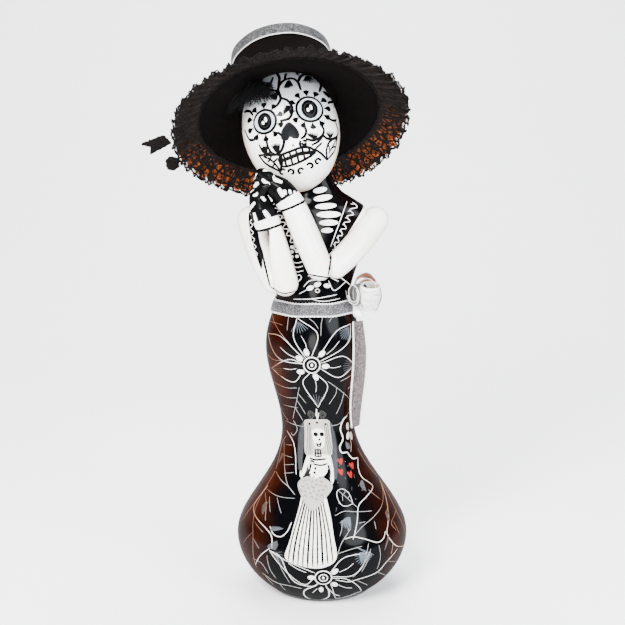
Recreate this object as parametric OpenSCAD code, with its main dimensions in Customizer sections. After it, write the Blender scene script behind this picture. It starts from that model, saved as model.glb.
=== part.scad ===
// Papier-mache figure of a lady with a skull face, in a long fitted dress and a wide lace-edged hat.
// Millimetres, +Z up. The origin is the centre of the flat foot, on the surface that it stands on.
// The figure faces -Y, and left and right are those of someone who looks at its face.

/* [Skirt] */
// Radius of the flat foot of the skirt
foot_r = 37; // [32:0.5:44]
// Largest radius, at the swelling hem
hem_r = 61.5; // [50:0.5:75]
// Half width at the knees
knee_r = 25.5; // [21:0.5:32]
// Half width at the hips
hip_r = 33.5; // [28:0.5:41]
// Half width at the waist
waist_r = 25.5; // [22:0.5:30]
// Height from the foot to the widest point of the hem
hem_h = 40; // [33:1:50]
// Height from the hem to the knees
calf_h = 80.5; // [65:0.5:100]
// Height from the knees to the hips
thigh_h = 56; // [46:1:70]
// Height from the hips to the waist
hip_h = 31; // [26:1:38]
// Sharpness of the bend from the hem to the knees: less is sharper
calf_bend = 0.84; // [0.75:0.01:1]
// How far the hips stand to the left of the foot
lean = 6.5; // [0:0.5:10]
// Height at which that lean starts
lean_from = 64; // [45:1:80]
// Depth of the waist as a share of its width
waist_q = 0.85; // [0.75:0.01:1]
// Thickness of the paper shells
wall = 2.6; // [2:0.1:3.2]

/* [Bodice and arms] */
// Height from the waist to the line of the shoulders
chest_h = 57.5; // [48:0.5:70]
// Height from the line of the shoulders to the root of the neck
shoulder_h = 14.5; // [12:0.5:18]
// Half width of the bodice at the shoulders
shoulder_w = 38; // [34:0.5:45]
// Half depth of the bodice at the shoulders
shoulder_d = 15.5; // [13:0.5:19]
// Radius of the root of the neck
neck_root_r = 12.5; // [11.5:0.1:14]
// Radius of the neck
neck_r = 10.5; // [8.7:0.1:11.3]
// Radius of an arm at the shoulder
arm_r = 9.4; // [7.8:0.1:11.3]
// Radius of an arm at the wrist
wrist_r = 8.4; // [7.2:0.1:9.2]

/* [Head] */
// Half width of the head
head_r = 33; // [27:0.5:40]
// Height of the head above its centre
head_up = 42; // [36:0.5:48]
// Height of the head below its centre
head_down = 43; // [38:0.5:50]
// Lean of the head towards the hands
head_roll = 12; // [6:1:16]
// Lean of the head backwards
head_pitch = 15; // [8:1:20]

/* [Hat] */
// Radius of the stiff felt brim
rim_r = 62; // [52:1:76]
// Rise of the brim from its rim to the crown
brim_rise = 11; // [7:1:15]
// Height of the rim above the middle of the head, along the hat's own axis
hat_seat = 12; // [10:0.5:14]
// Radius of the crown's top
crown_top_r = 34.5; // [30:0.5:38]
// Height of the crown above the brim
crown_h = 44; // [36:1:56]
// Space between the head and the wall of the crown
crown_gap = 2; // [1.5:0.5:5]
// Thickness of the felt
felt_t = 1.6; // [1.2:0.1:2.4]
// Width of the pad that seats the hat on the head
pad_w = 11; // [9:0.5:12]
// Height of that pad
pad_h = 11; // [8:1:14]
// Lean of the hat backwards
hat_pitch = 40; // [34:1:44]
// Lean of the hat to the left
hat_roll = 9; // [3:1:10]
// Thickness of the wire in the rim
rim_wire_d = 1.6; // [1.2:0.1:2]
// How far the lace stands out from the rim
lace_out = 20; // [14:0.5:25]
// How far the lace hangs below the rim
lace_drop = 11; // [7:0.5:14]
// Thickness allowed for the gathers of the lace
lace_t = 3; // [2:0.2:4]
// Radius of the puff of lace beside the loose end
puff_r = 4.8; // [3.5:0.1:6]
// Length of the loose end of the lace
lace_end_l = 17; // [14:1:30]

/* [Ribbons] */
// Width of the ribbons
ribbon_w = 10; // [8:0.5:12]
// Thickness allowed for a ribbon
ribbon_t = 0.8; // [0.6:0.1:1.2]
// Length of the hanging tail
tail_l = 76; // [60:1:100]
// Bearing of the bow at the waist
bow_az = -19; // [-25:1:-15]

/* [Inside] */
// Thickness of the wooden base disc
disc_t = 6; // [4:0.5:9]
// Radius of the wooden base disc
disc_r = 29; // [24:0.5:29.5]
// Thickness of the felt pad under the foot
pad_t = 1.5; // [1:0.1:2.5]
// Radius of the wooden post
post_r = 4; // [3:0.1:5]
// Height of the plaster ballast
ballast_h = 20; // [12:1:28]
// Thickness of the card plate at the waist
plate_t = 3; // [2:0.5:4]
// Radius of the armature wire
wire_r = 1; // [0.8:0.1:1.2]

/* [Hidden] */
lining_t = 0.6;
// clearance of glued pieces, of a dowel in its hole, of two hands that touch, of card in a shell, and of
// pieces that pass each other
glue = 0.05;
fit = 0.05;
clasp = 0.15;
slack = 0.3;
pass = 0.4;
sides = 48;
skirt_h = hem_h + calf_h + thigh_h + hip_h;
waist_z = pad_t + skirt_h;
bodice_h = chest_h + shoulder_h;
bodice_top = waist_z + bodice_h;
neck_x = 1.5 - lean;
neck_h = 20;
// from the front of the neck to the middle of the head, so that the neck meets both halves of the head
chin_reach = 8.5;
// the height of the widest part of the foot's round, which brings the hem in to the foot
hem_round = hem_h / sqrt(1 - pow(foot_r / hem_r, 2));
head_c = [neck_x - head_r / 2, chin_reach - neck_r, bodice_top + neck_h * 0.15 + head_down];
crown_r = head_r + crown_gap;
chest_y = -shoulder_d - arm_r - 2;

function smooth(t) = t <= 0 ? 0 : t >= 1 ? 1 : (1 - cos(180 * t)) / 2;
function mix(a, b, t) = a + (b - a) * t;

// Half width, depth ratio and sideways place of the skirt, at a height above its foot
function calf(t) = mix(knee_r, hem_r, (1 + cos(180 * pow(t, calf_bend))) / 2);
function skirt_r(z) =
    z <= hem_h ? hem_r * sqrt(1 - pow((hem_h - z) / hem_round, 2)) :
    z <= hem_h + calf_h ? calf((z - hem_h) / calf_h) :
    z <= skirt_h - hip_h ? mix(knee_r, hip_r, smooth((z - hem_h - calf_h) / thigh_h)) :
    mix(waist_r, hip_r, cos(90 * (z - skirt_h + hip_h) / hip_h));
function skirt_q(z) = mix(1, waist_q, smooth((z - hem_h) / (skirt_h - hem_h)));
function skirt_x(z) = -lean * smooth((z - lean_from) / (hem_h + calf_h + thigh_h - lean_from));

// Half width and half depth of the bodice, at a height above the waist
function shoulder_round(z) = sqrt(max(0, 1 - pow((z - chest_h) / shoulder_h, 2)));
function bodice_r(z) = z <= chest_h ? mix(waist_r, shoulder_w, smooth(z / chest_h)) :
    mix(neck_root_r, shoulder_w, shoulder_round(z));
function bodice_d(z) = z <= chest_h ? mix(waist_r * waist_q, shoulder_d, smooth(z / chest_h)) :
    mix(neck_root_r, shoulder_d, shoulder_round(z));
function bodice_x(z) = mix(-lean, neck_x, smooth(z / bodice_h));

// An oval ring of points, and the faces that join a list of rings
function oval(x, y, z, rx, ry, n = sides) = [for (i = [0:n - 1])
    [x + rx * cos(360 * i / n), y + ry * sin(360 * i / n), z]];
function strip(a, b, n) = [for (i = [0:n - 1]) each [
    [a * n + i, b * n + i, b * n + (i + 1) % n], [a * n + i, b * n + (i + 1) % n, a * n + (i + 1) % n]]];

// A closed solid through rings that go up
module loft(rings) {
    n = len(rings[0]);
    k = len(rings);
    polyhedron([for (r = rings) each r], concat([[for (i = [0:n - 1]) i]],
        [[for (i = [n - 1:-1:0]) (k - 1) * n + i]], [for (j = [0:k - 2]) each strip(j, j + 1, n)]));
}

// A closed hollow wall: the rings go up its outside and down its inside
module hollow(rings) {
    n = len(rings[0]);
    k = len(rings);
    polyhedron([for (r = rings) each r], [for (j = [0:k - 1]) each strip(j, (j + 1) % k, n)]);
}

// Turns Z to a direction, and the places of the head and the hat
module aim(v) {
    rotate([0, acos(v.z / norm(v)), atan2(v.y, v.x)]) children();
}
module in_head() {
    translate(head_c) rotate([-head_pitch, -head_roll, 0]) children();
}
module in_hat() {
    translate(head_c) rotate([-hat_pitch, -hat_roll, 0]) translate([0, 0, hat_seat]) children();
}
module out_of_hat() {
    translate([0, 0, -hat_seat]) rotate([hat_pitch, 0, 0]) rotate([0, hat_roll, 0])
        translate(-head_c) children();
}

// ---- the base and the post ----
module base_pad() {
    color("dimgray") cylinder(h = pad_t, r = foot_r - 1, $fn = 96);
}

module post_hole(z0, z1) {
    translate([neck_x, 0, z0]) cylinder(h = z1 - z0, r = post_r + fit, $fn = 48);
}

module base_disc() {
    color("burlywood") difference() {
        translate([0, 0, pad_t]) cylinder(h = disc_t, r = disc_r, $fn = 96);
        post_hole(pad_t + 2, pad_t + disc_t + 1);
    }
}

module ballast() {
    color("whitesmoke") difference() {
        translate([0, 0, pad_t + disc_t]) cylinder(h = ballast_h, r1 = disc_r - 1, r2 = disc_r - 5, $fn = 96);
        post_hole(pad_t, pad_t + disc_t + ballast_h + 1);
    }
}

post_top = bodice_top + neck_h - 3;
module spine_post() {
    color("burlywood") difference() {
        translate([neck_x, 0, pad_t + 2]) cylinder(h = post_top - pad_t - 2, r = post_r, $fn = 48);
        wire_holes();
    }
}

module waist_plate() {
    color("tan") difference() {
        loft([for (z = [skirt_h - plate_t, skirt_h - glue]) skirt_ring(z, -wall - slack)]);
        post_hole(waist_z - plate_t - 1, waist_z + 1);
    }
}

// ---- the dress ----
function skirt_ring(z, grow) = oval(skirt_x(z), 0, pad_t + z,
    skirt_r(z) + grow, skirt_r(z) * skirt_q(z) + grow);
knee_z = hem_h + calf_h;
flare_steps = concat([0, 3, 8, 14, 20, 26, 33] * (hem_h / 40), [for (i = [0:12]) mix(hem_h, knee_z, i / 12)]);
hip_steps = concat([for (i = [0:6]) mix(knee_z, skirt_h - hip_h, i / 7)],
    [for (i = [0:5]) mix(skirt_h - hip_h, skirt_h, i / 5)]);
module skirt_flare_shell() {
    seat_r = (disc_r + fit) / cos(180 / sides) + glue;
    color("black") hollow(concat([for (z = flare_steps) skirt_ring(z, 0)],
        [for (i = [0:9]) skirt_ring(mix(knee_z, disc_t, i / 9), -wall)],
        [for (z = [disc_t, 0]) oval(0, 0, pad_t + z, seat_r, seat_r)]));
}
module skirt_hip_shell() {
    n = len(hip_steps) - 1;
    color("black") hollow(concat([for (z = hip_steps) skirt_ring(z, 0)],
        [for (i = [n:-1:0]) skirt_ring(hip_steps[i], -wall)]));
}

function bodice_ring(z, up, grow) = oval(bodice_x(z), 0, waist_z + z,
    bodice_r(min(z + up, bodice_h)) + grow, bodice_d(min(z + up, bodice_h)) + grow);
bodice_steps = concat([for (i = [0:8]) chest_h * i / 8],
    [for (a = [12:12:90]) chest_h + shoulder_h * sin(a)], [bodice_h]);
module bodice_shell() {
    color("black") difference() {
        bodice_wall();
        wire_holes();
    }
}
module bodice_wall() {
    hollow(concat([for (z = bodice_steps) bodice_ring(z, 0, 0)],
        [for (z = [bodice_h, bodice_h - wall, for (i = [1:9]) mix(bodice_h - wall, 0, i / 9)])
            bodice_ring(z, wall, -wall)]));
}
module torso(grow) {
    loft([for (z = bodice_steps) bodice_ring(z, 0, grow)]);
}

module neck() {
    color("black") difference() {
        translate([neck_x, 0, bodice_top]) rotate_extrude($fn = 64) polygon([[0, 0], [neck_root_r, 0],
            for (a = [0:15:90]) [neck_root_r - (neck_root_r - neck_r) * sin(a), 6 * (1 - cos(a))],
            [neck_r, neck_h], [0, neck_h]]);
        post_hole(bodice_top - 1, post_top);
    }
}

// ---- the arms ----
// side is -1 for the left arm and 1 for the right one. The right elbow stands higher, and the right hand too.
function shoulder_p(side) = [side * (shoulder_w + 5) - lean, -1, waist_z + chest_h - 1];
function elbow_p(side) = side < 0 ? [-lean - 26, chest_y - 3, waist_z + 19] :
    [-lean + 15, chest_y - 3, waist_z + 29];
function fold_p(side) = side < 0 ? [-lean - 18.5, chest_y - 8, waist_z + 18] :
    [-lean + 4.5, chest_y - 8, waist_z + 28.5];
function wrist_p(side) = side < 0 ? [-lean - 29, chest_y - 8, waist_z + 55.5] :
    [-lean - 13, chest_y - 8, waist_z + 70];

// A point on the curve from a past b to c, and a limb that follows it with radii r0, rm and r1
function bend(a, b, c, t) = a * pow(1 - t, 2) + b * 2 * t * (1 - t) + c * t * t;
module limb(a, b, c, r0, rm, r1, n = 8, fn = 20) {
    for (i = [0:n - 1]) hull() for (t = [i / n, (i + 1) / n])
        translate(bend(a, b, c, t)) sphere(r = bend(r0, rm, r1, t), $fn = fn);
}

// The half of space on the upper arm's side of the elbow, or on the forearm's side
module elbow_side(side, upper) {
    away = elbow_p(side) - fold_p(side);
    mid = (elbow_p(side) + fold_p(side)) / 2;
    translate(mid) aim([away.x, away.y, 0] * (upper ? 1 : -1)) translate([-60, -60, glue]) cube(120);
}

// The wire starts in the post, and ends in the hand
function palm_p(side) = wrist_p(side) + (wrist_p(side) - fold_p(side)) * 0.16;
module arm_wire(side, r) {
    root = [neck_x + side * 1.2, 0, shoulder_p(side).z];
    path = [root, shoulder_p(side), elbow_p(side), fold_p(side), palm_p(side)];
    for (i = [0:3]) translate(path[i]) aim(path[i + 1] - path[i])
        cylinder(h = norm(path[i + 1] - path[i]), r = r, $fn = 24);
    for (i = [1:3]) translate(path[i]) sphere(r = r + clasp, $fn = 24);
}
module wire_holes() {
    for (side = [-1, 1]) arm_wire(side, wire_r + fit);
}

module upper_arm(side) {
    a = shoulder_p(side);
    b = (shoulder_p(side) + elbow_p(side)) / 2 + [side * 3, -1, -1];
    color("ivory") difference() {
        intersection() {
            limb(a, b, elbow_p(side), arm_r, arm_r + 0.4, arm_r - 0.6);
            elbow_side(side, true);
        }
        torso(glue);
        arm_wire(side, wire_r + fit);
    }
}

module forearm(side) {
    a = fold_p(side);
    c = wrist_p(side);
    color("ivory") difference() {
        intersection() {
            limb(a, (a + c) / 2, c, arm_r - 0.6, arm_r + 0.4, wrist_r);
            elbow_side(side, false);
        }
        translate(c) aim(c - a) translate([-30, -30, 0]) cube(60);
        arm_wire(side, wire_r + fit);
    }
}

// ---- the hands: a palm and four fingers that curl under the jaw ----
module hand_shape(side, grow) {
    w = wrist_p(side);
    up = w - fold_p(side);
    palm = w + up * (11 / norm(up)) + [side < 0 ? -1.5 : -4, 1.5, 0];
    knuckle = palm + (side < 0 ? [-3, 4, 9] : [-7, 2, 5]);
    intersection() {
        union() {
            limb(w, mix(w, palm, 0.5), palm, wrist_r + grow, wrist_r + 0.8 + grow, wrist_r + grow, 3, 18);
            limb(palm, mix(palm, knuckle, 0.5), knuckle, wrist_r + grow, wrist_r - 0.6 + grow,
                wrist_r - 2.2 + grow, 3, 18);
            for (k = [0:3]) {
                base = knuckle + (side < 0 ? [-2.5 + 1.5 * k, 5 - 3.4 * k, -1 + 1.2 * k] :
                    [-4 + 1.2 * k, 2 - 2.6 * k, -5 + 3.2 * k]);
                tip = base + (side < 0 ? [6.5, -2, 6.5] : [-6, 7, 2.5]);
                limb(base, mix(base, tip, 0.5) + [-2.5, -1, 2], tip, 3.4 + grow, 3.2 + grow, 2.6 + grow, 2, 14);
            }
        }
        translate(w) aim(up) translate([-60, -60, 0]) cube(120);
    }
}

module hand_left() {
    color("black") difference() {
        hand_shape(-1, 0);
        hand_shape(1, clasp);
        in_head() egg(pass);
        arm_wire(-1, wire_r + fit);
    }
}

module hand_right() {
    color("black") difference() {
        hand_shape(1, 0);
        in_head() egg(pass);
        arm_wire(1, wire_r + fit);
    }
}

// ---- the head ----
function egg_z(a, grow) = (sin(a) > 0 ? head_up + grow : head_down + grow) * sin(a);
function egg_r(a, grow) = (head_r + grow) * cos(a) * (1 - (a < 0 ? 0.05 * sin(a) * sin(a) : 0));
module egg(grow, down = 0) {
    rotate_extrude($fn = 72) polygon([for (a = [-90:7.5:90])
        [max(0, egg_r(a, grow)), sin(a) < 0 ? egg_z(a, grow - down) : egg_z(a, grow)]]);
}

module head_half(front) {
    color("ivory") difference() {
        intersection() {
            in_head() difference() {
                egg(0);
                egg(-wall, head_down * 0.42);
            }
            in_head() translate([-100, front ? -200 - glue / 2 : glue / 2, -100]) cube(200);
        }
        translate([neck_x, 0, bodice_top - 20]) cylinder(h = 20 + neck_h + glue, r = neck_r + fit, $fn = 64);
    }
}

// A lock of hair that lies on the left of the forehead, clear of the hat
module forelock() {
    color("black") in_head() difference() {
        limb([-21, -24, 24], [-35, -25, 20], [-33, -20, 6], 5, 6, 2, 8, 16);
        egg(glue);
    }
}

// ---- the ribbon at the waist ----
module waist_sash() {
    z0 = skirt_h - ribbon_w + 0.5;
    up = [for (i = [0:4]) mix(z0, skirt_h, i / 4)];
    down = [for (i = [4:-1:0]) mix(z0, skirt_h, i / 4)];
    color("silver") hollow(concat([for (z = up) skirt_ring(z, pass / 2 + ribbon_t)],
        [for (z = down) skirt_ring(z, pass / 2)]));
}

// The bow's place: out is its bearing, and bow_p is the middle of the knot
bow_z = skirt_h - ribbon_w / 2;
bow_out = [cos(bow_az), sin(bow_az), 0];
function oval_reach(rx, ry, az) = rx * ry / sqrt(pow(ry * cos(az), 2) + pow(rx * sin(az), 2));
bow_s = oval_reach(skirt_r(bow_z - 2), skirt_r(bow_z - 2) * skirt_q(bow_z), bow_az) + pass / 2 + ribbon_t;
knot_r = 4;
bow_p = [skirt_x(bow_z), 0, pad_t + bow_z + 1] + bow_out * (bow_s + knot_r + 0.5);

module bow_knot() {
    color("silver") difference() {
        hull() for (z = [-3, 3]) translate(bow_p + [0, 0, z]) sphere(r = knot_r, $fn = 32);
        translate(bow_p - bow_out * (knot_r - 0.4)) aim(-bow_out) translate([-20, -20, 0]) cube(40);
        for (n = [0:2]) loop_bar(n, glue);
    }
}

// Loops of ribbon: place from the knot, way the opening faces, half sizes of the oval, width
bow_loops = [
    [[-1.2, -5.5, 9], [-0.45, -0.87, 0.2], 8.5, 5, 7],
    [[9.5, -2.5, 3.5], [0.25, -0.95, 0.1], 10, 7, 8],
    [[4.5, 6, 16], [0.15, -0.97, 0.2], 9, 8, 8]];
module loop_bar(n, grow) {
    loop = bow_loops[n];
    long = loop[4] + 2 * abs(grow);
    translate(bow_p + loop[0]) aim(loop[1]) translate([0, 0, -long / 2]) linear_extrude(long)
        polygon([for (t = [0:12:359]) [(loop[2] + grow) * cos(t), (loop[3] + grow) * sin(t)]]);
}
// Each loop is pressed against the one before it
module bow_loop(n) {
    color("whitesmoke") difference() {
        loop_bar(n, 0);
        loop_bar(n, -ribbon_t);
        if (n > 0) loop_bar(n - 1, glue);
    }
}
module bow_loop_front() {
    bow_loop(0);
}
module bow_loop_side() {
    bow_loop(1);
}
module bow_loop_top() {
    bow_loop(2);
}

// The tail hangs from the knot and follows the hip, clear of it.
// Across it runs tail_along, and tail_n is out of it.
tail_az = -33;
tail_along = [0.85, 0.53, 0];
tail_n = [0.53, -0.85, 0];
tail_top = bow_p.z - 8;
hip_z = skirt_h - hip_h;
function tail_r(z) = oval_reach(skirt_r(z), skirt_r(z) * skirt_q(z), tail_az) + 2 * pass;
function tail_spot(z) =
    z > hip_z ? tail_edge - tail_n * 1.5 * smooth((z - hip_z) / (tail_top - pad_t - hip_z)) :
    mix(tail_edge, [skirt_x(z), 0, 0] + tail_r(z) * [cos(tail_az), sin(tail_az), 0], 0.75);
tail_edge = [skirt_x(hip_z), 0, 0] + tail_r(hip_z) * [cos(tail_az), sin(tail_az), 0];
function tail_ring(z) = [for (c = [[0, 0], [1, 0], [1, 1], [0, 1]])
    tail_spot(z) + tail_along * ribbon_w * c[0] + tail_n * ribbon_t * (1 - c[1]) + [0, 0, pad_t + z]];
tail_steps = [for (i = [0:12]) tail_top - pad_t - tail_l * (1 - i / 12)];
module ribbon_tail() {
    color("silver") loft([for (z = tail_steps) tail_ring(z)]);
}

// ---- the hat ----
crown_z = brim_rise;
crown_top = brim_rise + crown_h;
// Outer radius of the crown at a height above the rim
function crown_wall(z) = mix(crown_r + felt_t, crown_top_r, (z - crown_z - glue) / (crown_h - 2 - glue));
module hat_brim() {
    color("black") in_hat() difference() {
        rotate_extrude($fn = 128) polygon([[crown_r, crown_z - felt_t],
            for (i = [0:8]) [mix(crown_r, rim_r, i / 8), brim_rise * pow(1 - i / 8, 1.3) - felt_t],
            for (i = [8:-1:0]) [mix(crown_r, rim_r, i / 8), brim_rise * pow(1 - i / 8, 1.3)]]);
        rotate_extrude($fn = 96) translate([rim_r - felt_t, 0]) circle(d = rim_wire_d + 2 * fit, $fn = 24);
    }
}

module brim_wire() {
    color("dimgray") in_hat() rotate_extrude($fn = 96)
        translate([rim_r - felt_t, 0]) circle(d = rim_wire_d, $fn = 24);
}

module hat_crown() {
    edge = 2;
    color("black") in_hat() rotate_extrude($fn = 96) polygon([
        [crown_r, crown_z + glue], [crown_r + felt_t, crown_z + glue],
        [crown_top_r, crown_top - edge], [crown_top_r - edge, crown_top], [0, crown_top + 1],
        [0, crown_top + 1 - felt_t], [crown_top_r - edge - 0.5, crown_top - felt_t],
        [crown_top_r - felt_t, crown_top - edge - felt_t / 2]]);
}

module hat_pad() {
    color("dimgray") in_hat() difference() {
        translate([0, 0, crown_z + 1]) difference() {
            cylinder(h = pad_h, r1 = crown_wall(crown_z + 1) - felt_t - glue,
                r2 = crown_wall(crown_z + 1 + pad_h) - felt_t - glue, $fn = 96);
            translate([0, 0, -1]) cylinder(h = pad_h + 2, r = crown_r - pad_w, $fn = 96);
        }
        out_of_hat() in_head() egg(pass);
    }
}

module hat_band() {
    z0 = crown_top - 2.5 - ribbon_w;
    z1 = crown_top - 2.5;
    color("silver") in_hat() rotate_extrude($fn = 96) polygon([[crown_wall(z0) + glue, z0],
        [crown_wall(z0) + glue + ribbon_t, z0],
        [crown_wall(z1) + glue + ribbon_t, z1], [crown_wall(z1) + glue, z1]]);
}

// The gathered lace is a sloping ring here: its waves are within the ring.
// Its lining lies on top of it.
lace_end_az = 186;
module lace_ruffle() {
    color("black") in_hat() rotate_extrude($fn = 96) polygon([[rim_r + glue, 0], [rim_r + glue, -felt_t - 1.2],
        [rim_r + lace_out - lace_t / 2, -lace_drop - lace_t / 2], [rim_r + lace_out, -lace_drop],
        [rim_r + lace_out - lace_t / 2, -lace_drop + lace_t / 2]]);
}

module lace_lining() {
    r0 = rim_r + glue;
    r1 = rim_r + lace_out - lace_t / 2;
    drop = lace_drop - lace_t / 2;
    color("orangered") in_hat() rotate_extrude($fn = 96)
        polygon([[r0, glue], [r1, glue - drop], [r1, glue - drop + lining_t], [r0, glue + lining_t]]);
}

module lace_puff() {
    color("black") in_hat() rotate([0, 0, lace_end_az - 18])
        translate([rim_r + lace_out + puff_r + pass, 0, -lace_drop]) sphere(r = puff_r, $fn = 32);
}

module lace_end() {
    color("black") in_hat() rotate([0, 0, lace_end_az]) translate([rim_r + lace_out + glue, 0, -lace_drop])
        rotate([0, 8, -22]) translate([0.5, -3, -1]) linear_extrude(2)
            polygon([[0, 0], [lace_end_l, -1], [lace_end_l - 4, 6], [lace_end_l, 12], [0.6, 10]]);
}

base_pad();
base_disc();
ballast();
spine_post();
skirt_flare_shell();
skirt_hip_shell();
waist_plate();
bodice_shell();
color("silver") arm_wire(-1, wire_r);  // arm_wire_left
color("silver") arm_wire(1, wire_r);  // arm_wire_right
upper_arm(-1);  // upper_arm_left
upper_arm(1);  // upper_arm_right
forearm(-1);  // forearm_left
forearm(1);  // forearm_right
hand_left();
hand_right();
neck();
head_half(true);  // face_shell
head_half(false);  // skull_back_shell
forelock();
waist_sash();
bow_knot();
bow_loop_front();
bow_loop_side();
bow_loop_top();
ribbon_tail();
hat_brim();
hat_crown();
hat_pad();
brim_wire();
hat_band();
lace_ruffle();
lace_lining();
lace_puff();
lace_end();
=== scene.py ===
import bpy
import bmesh
import math
import random
from mathutils import Matrix, Vector, noise
from mathutils.bvhtree import BVHTree


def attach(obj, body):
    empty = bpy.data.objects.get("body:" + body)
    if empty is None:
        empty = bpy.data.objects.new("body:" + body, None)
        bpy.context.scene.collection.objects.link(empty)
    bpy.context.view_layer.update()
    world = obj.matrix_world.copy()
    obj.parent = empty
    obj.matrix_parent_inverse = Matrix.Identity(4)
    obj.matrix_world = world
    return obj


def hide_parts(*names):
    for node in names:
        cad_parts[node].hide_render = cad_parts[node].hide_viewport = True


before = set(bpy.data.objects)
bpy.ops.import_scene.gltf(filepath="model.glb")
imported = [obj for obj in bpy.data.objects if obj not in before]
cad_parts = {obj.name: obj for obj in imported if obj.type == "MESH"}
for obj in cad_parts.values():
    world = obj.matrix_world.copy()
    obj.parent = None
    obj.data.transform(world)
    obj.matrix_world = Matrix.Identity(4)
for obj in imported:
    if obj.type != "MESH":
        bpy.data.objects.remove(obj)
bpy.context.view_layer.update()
print("frame loaded")

mm = 0.001
figureBody = "figure"
hatBody = "hat"
tailBody = "tail"
random.seed(7)


# ---------- camera, floor and light ----------
camera = {"place": (-6.9, -900, 383), "aim": (-6.9, 0, 200), "lens": 75.6}
backdrop = {"front": -1.6, "back": 1.5, "bend": 0.9, "half": 3.2, "height": 3.0}
lights = [
    {"name": "keyLight", "place": (-0.55, -1.15, 1.15), "size": 0.7, "power": 104, "colour": (1.0, 0.98, 0.95)},
    {"name": "fillLight", "place": (0.95, -0.85, 0.75), "size": 0.8, "power": 40, "colour": (0.9, 0.95, 1.0)},
    {"name": "lowLight", "place": (0.0, -1.5, 0.25), "size": 0.5, "power": 19, "colour": (1.0, 0.98, 0.96)},
    {"name": "backLight", "place": (0.0, 0.55, 1.6), "size": 1.4, "power": 62, "colour": (1.0, 1.0, 1.0)},
]


def setCamera():
    data = bpy.data.cameras.new("sceneCamera")
    data.lens = camera["lens"]
    data.sensor_width = 36
    data.clip_end = 30
    data.clip_start = 0.05
    obj = bpy.data.objects.new("sceneCamera", data)
    bpy.context.scene.collection.objects.link(obj)
    place = Vector(camera["place"]) * mm
    aim = Vector(camera["aim"]) * mm
    obj.location = place
    obj.rotation_euler = (aim - place).to_track_quat("-Z", "Y").to_euler()
    bpy.context.scene.camera = obj


def setLights():
    world = bpy.data.worlds.new("paleRoom")
    world.use_nodes = True
    world.node_tree.nodes["Background"].inputs["Color"].default_value = (0.93, 0.94, 0.97, 1)
    world.node_tree.nodes["Background"].inputs["Strength"].default_value = 0.5
    bpy.context.scene.world = world
    for row in lights:
        data = bpy.data.lights.new(row["name"], "AREA")
        data.shape = "DISK"
        data.size = row["size"]
        data.energy = row["power"]
        data.color = row["colour"]
        obj = bpy.data.objects.new(row["name"], data)
        bpy.context.scene.collection.objects.link(obj)
        obj.location = row["place"]
        obj.rotation_euler = (Vector((0, 0, 0.2)) - Vector(row["place"])).to_track_quat("-Z", "Y").to_euler()


# ---------- meshes ----------
def meshObject(name, verts, faces, smooth=True, scale=mm):
    mesh = bpy.data.meshes.new(name)
    mesh.from_pydata([Vector(v) * scale for v in verts], [], faces)
    mesh.validate()
    mesh.update()
    if smooth:
        mesh.shade_smooth()
    obj = bpy.data.objects.new(name, mesh)
    bpy.context.scene.collection.objects.link(obj)
    return obj


def fixNormals(obj):
    bm = bmesh.new()
    bm.from_mesh(obj.data)
    bmesh.ops.recalc_face_normals(bm, faces=bm.faces)
    bm.to_mesh(obj.data)
    bm.free()


def applyModifiers(obj):
    bpy.context.view_layer.update()
    shape = obj.evaluated_get(bpy.context.evaluated_depsgraph_get())
    mesh = bpy.data.meshes.new_from_object(shape)
    old = obj.data
    obj.modifiers.clear()
    obj.data = mesh
    bpy.data.meshes.remove(old)
    mesh.name = obj.name


def copyOfNodes(name, nodes):
    # one welded copy of the CAD solids
    bm = bmesh.new()
    for node in nodes:
        bm.from_mesh(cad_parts[node].data)
    bmesh.ops.remove_doubles(bm, verts=bm.verts, dist=0.00002)
    mesh = bpy.data.meshes.new(name)
    bm.to_mesh(mesh)
    bm.free()
    obj = bpy.data.objects.new(name, mesh)
    bpy.context.scene.collection.objects.link(obj)
    return obj


def surfaceOf(*objs):
    # ray casting over several meshes at once, in millimetres
    verts, faces = [], []
    for obj in objs:
        start = len(verts)
        verts += [v.co / mm for v in obj.data.vertices]
        faces += [[start + i for i in p.vertices] for p in obj.data.polygons]
    return BVHTree.FromPolygons(verts, faces)


# ---------- shader helpers ----------
def newMaterial(name):
    mat = bpy.data.materials.new(name)
    mat.use_nodes = True
    tree = mat.node_tree
    return mat, tree, tree.nodes["Principled BSDF"]


def addNode(tree, kind, inputs=None, **settings):
    node = tree.nodes.new(kind)
    for key, value in settings.items():
        setattr(node, key, value)
    for key, value in (inputs or {}).items():
        if isinstance(value, bpy.types.NodeSocket):
            tree.links.new(value, node.inputs[key])
        else:
            node.inputs[key].default_value = value
    return node


def coords(tree, kind="Object"):
    return addNode(tree, "ShaderNodeTexCoord").outputs[kind]


def noiseOf(tree, vector, scale, detail=4.0, rough=0.55):
    return addNode(tree, "ShaderNodeTexNoise", {"Vector": vector, "Scale": scale, "Detail": detail,
                                                "Roughness": rough}).outputs["Fac"]


def mathOf(tree, operation, a, b=0.0, c=0.0, clamp=False):
    node = addNode(tree, "ShaderNodeMath", {0: a, 1: b}, operation=operation, use_clamp=clamp)
    if operation in ("MULTIPLY_ADD", "SMOOTH_MIN", "COMPARE"):
        node.inputs[2].default_value = c
    return node.outputs[0]


def rangeOf(tree, value, low, high, toLow=0.0, toHigh=1.0, kind="SMOOTHSTEP"):
    return addNode(tree, "ShaderNodeMapRange", {"Value": value, "From Min": low, "From Max": high,
                                                "To Min": toLow, "To Max": toHigh},
                   interpolation_type=kind).outputs["Result"]


def mixColour(tree, factor, a, b):
    node = addNode(tree, "ShaderNodeMix", data_type="RGBA")
    for socket, value in ((node.inputs["Factor"], factor), (node.inputs[6], a), (node.inputs[7], b)):
        if isinstance(value, bpy.types.NodeSocket):
            tree.links.new(value, socket)
        else:
            socket.default_value = (*value, 1) if isinstance(value, tuple) else value
    return node.outputs[2]


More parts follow.
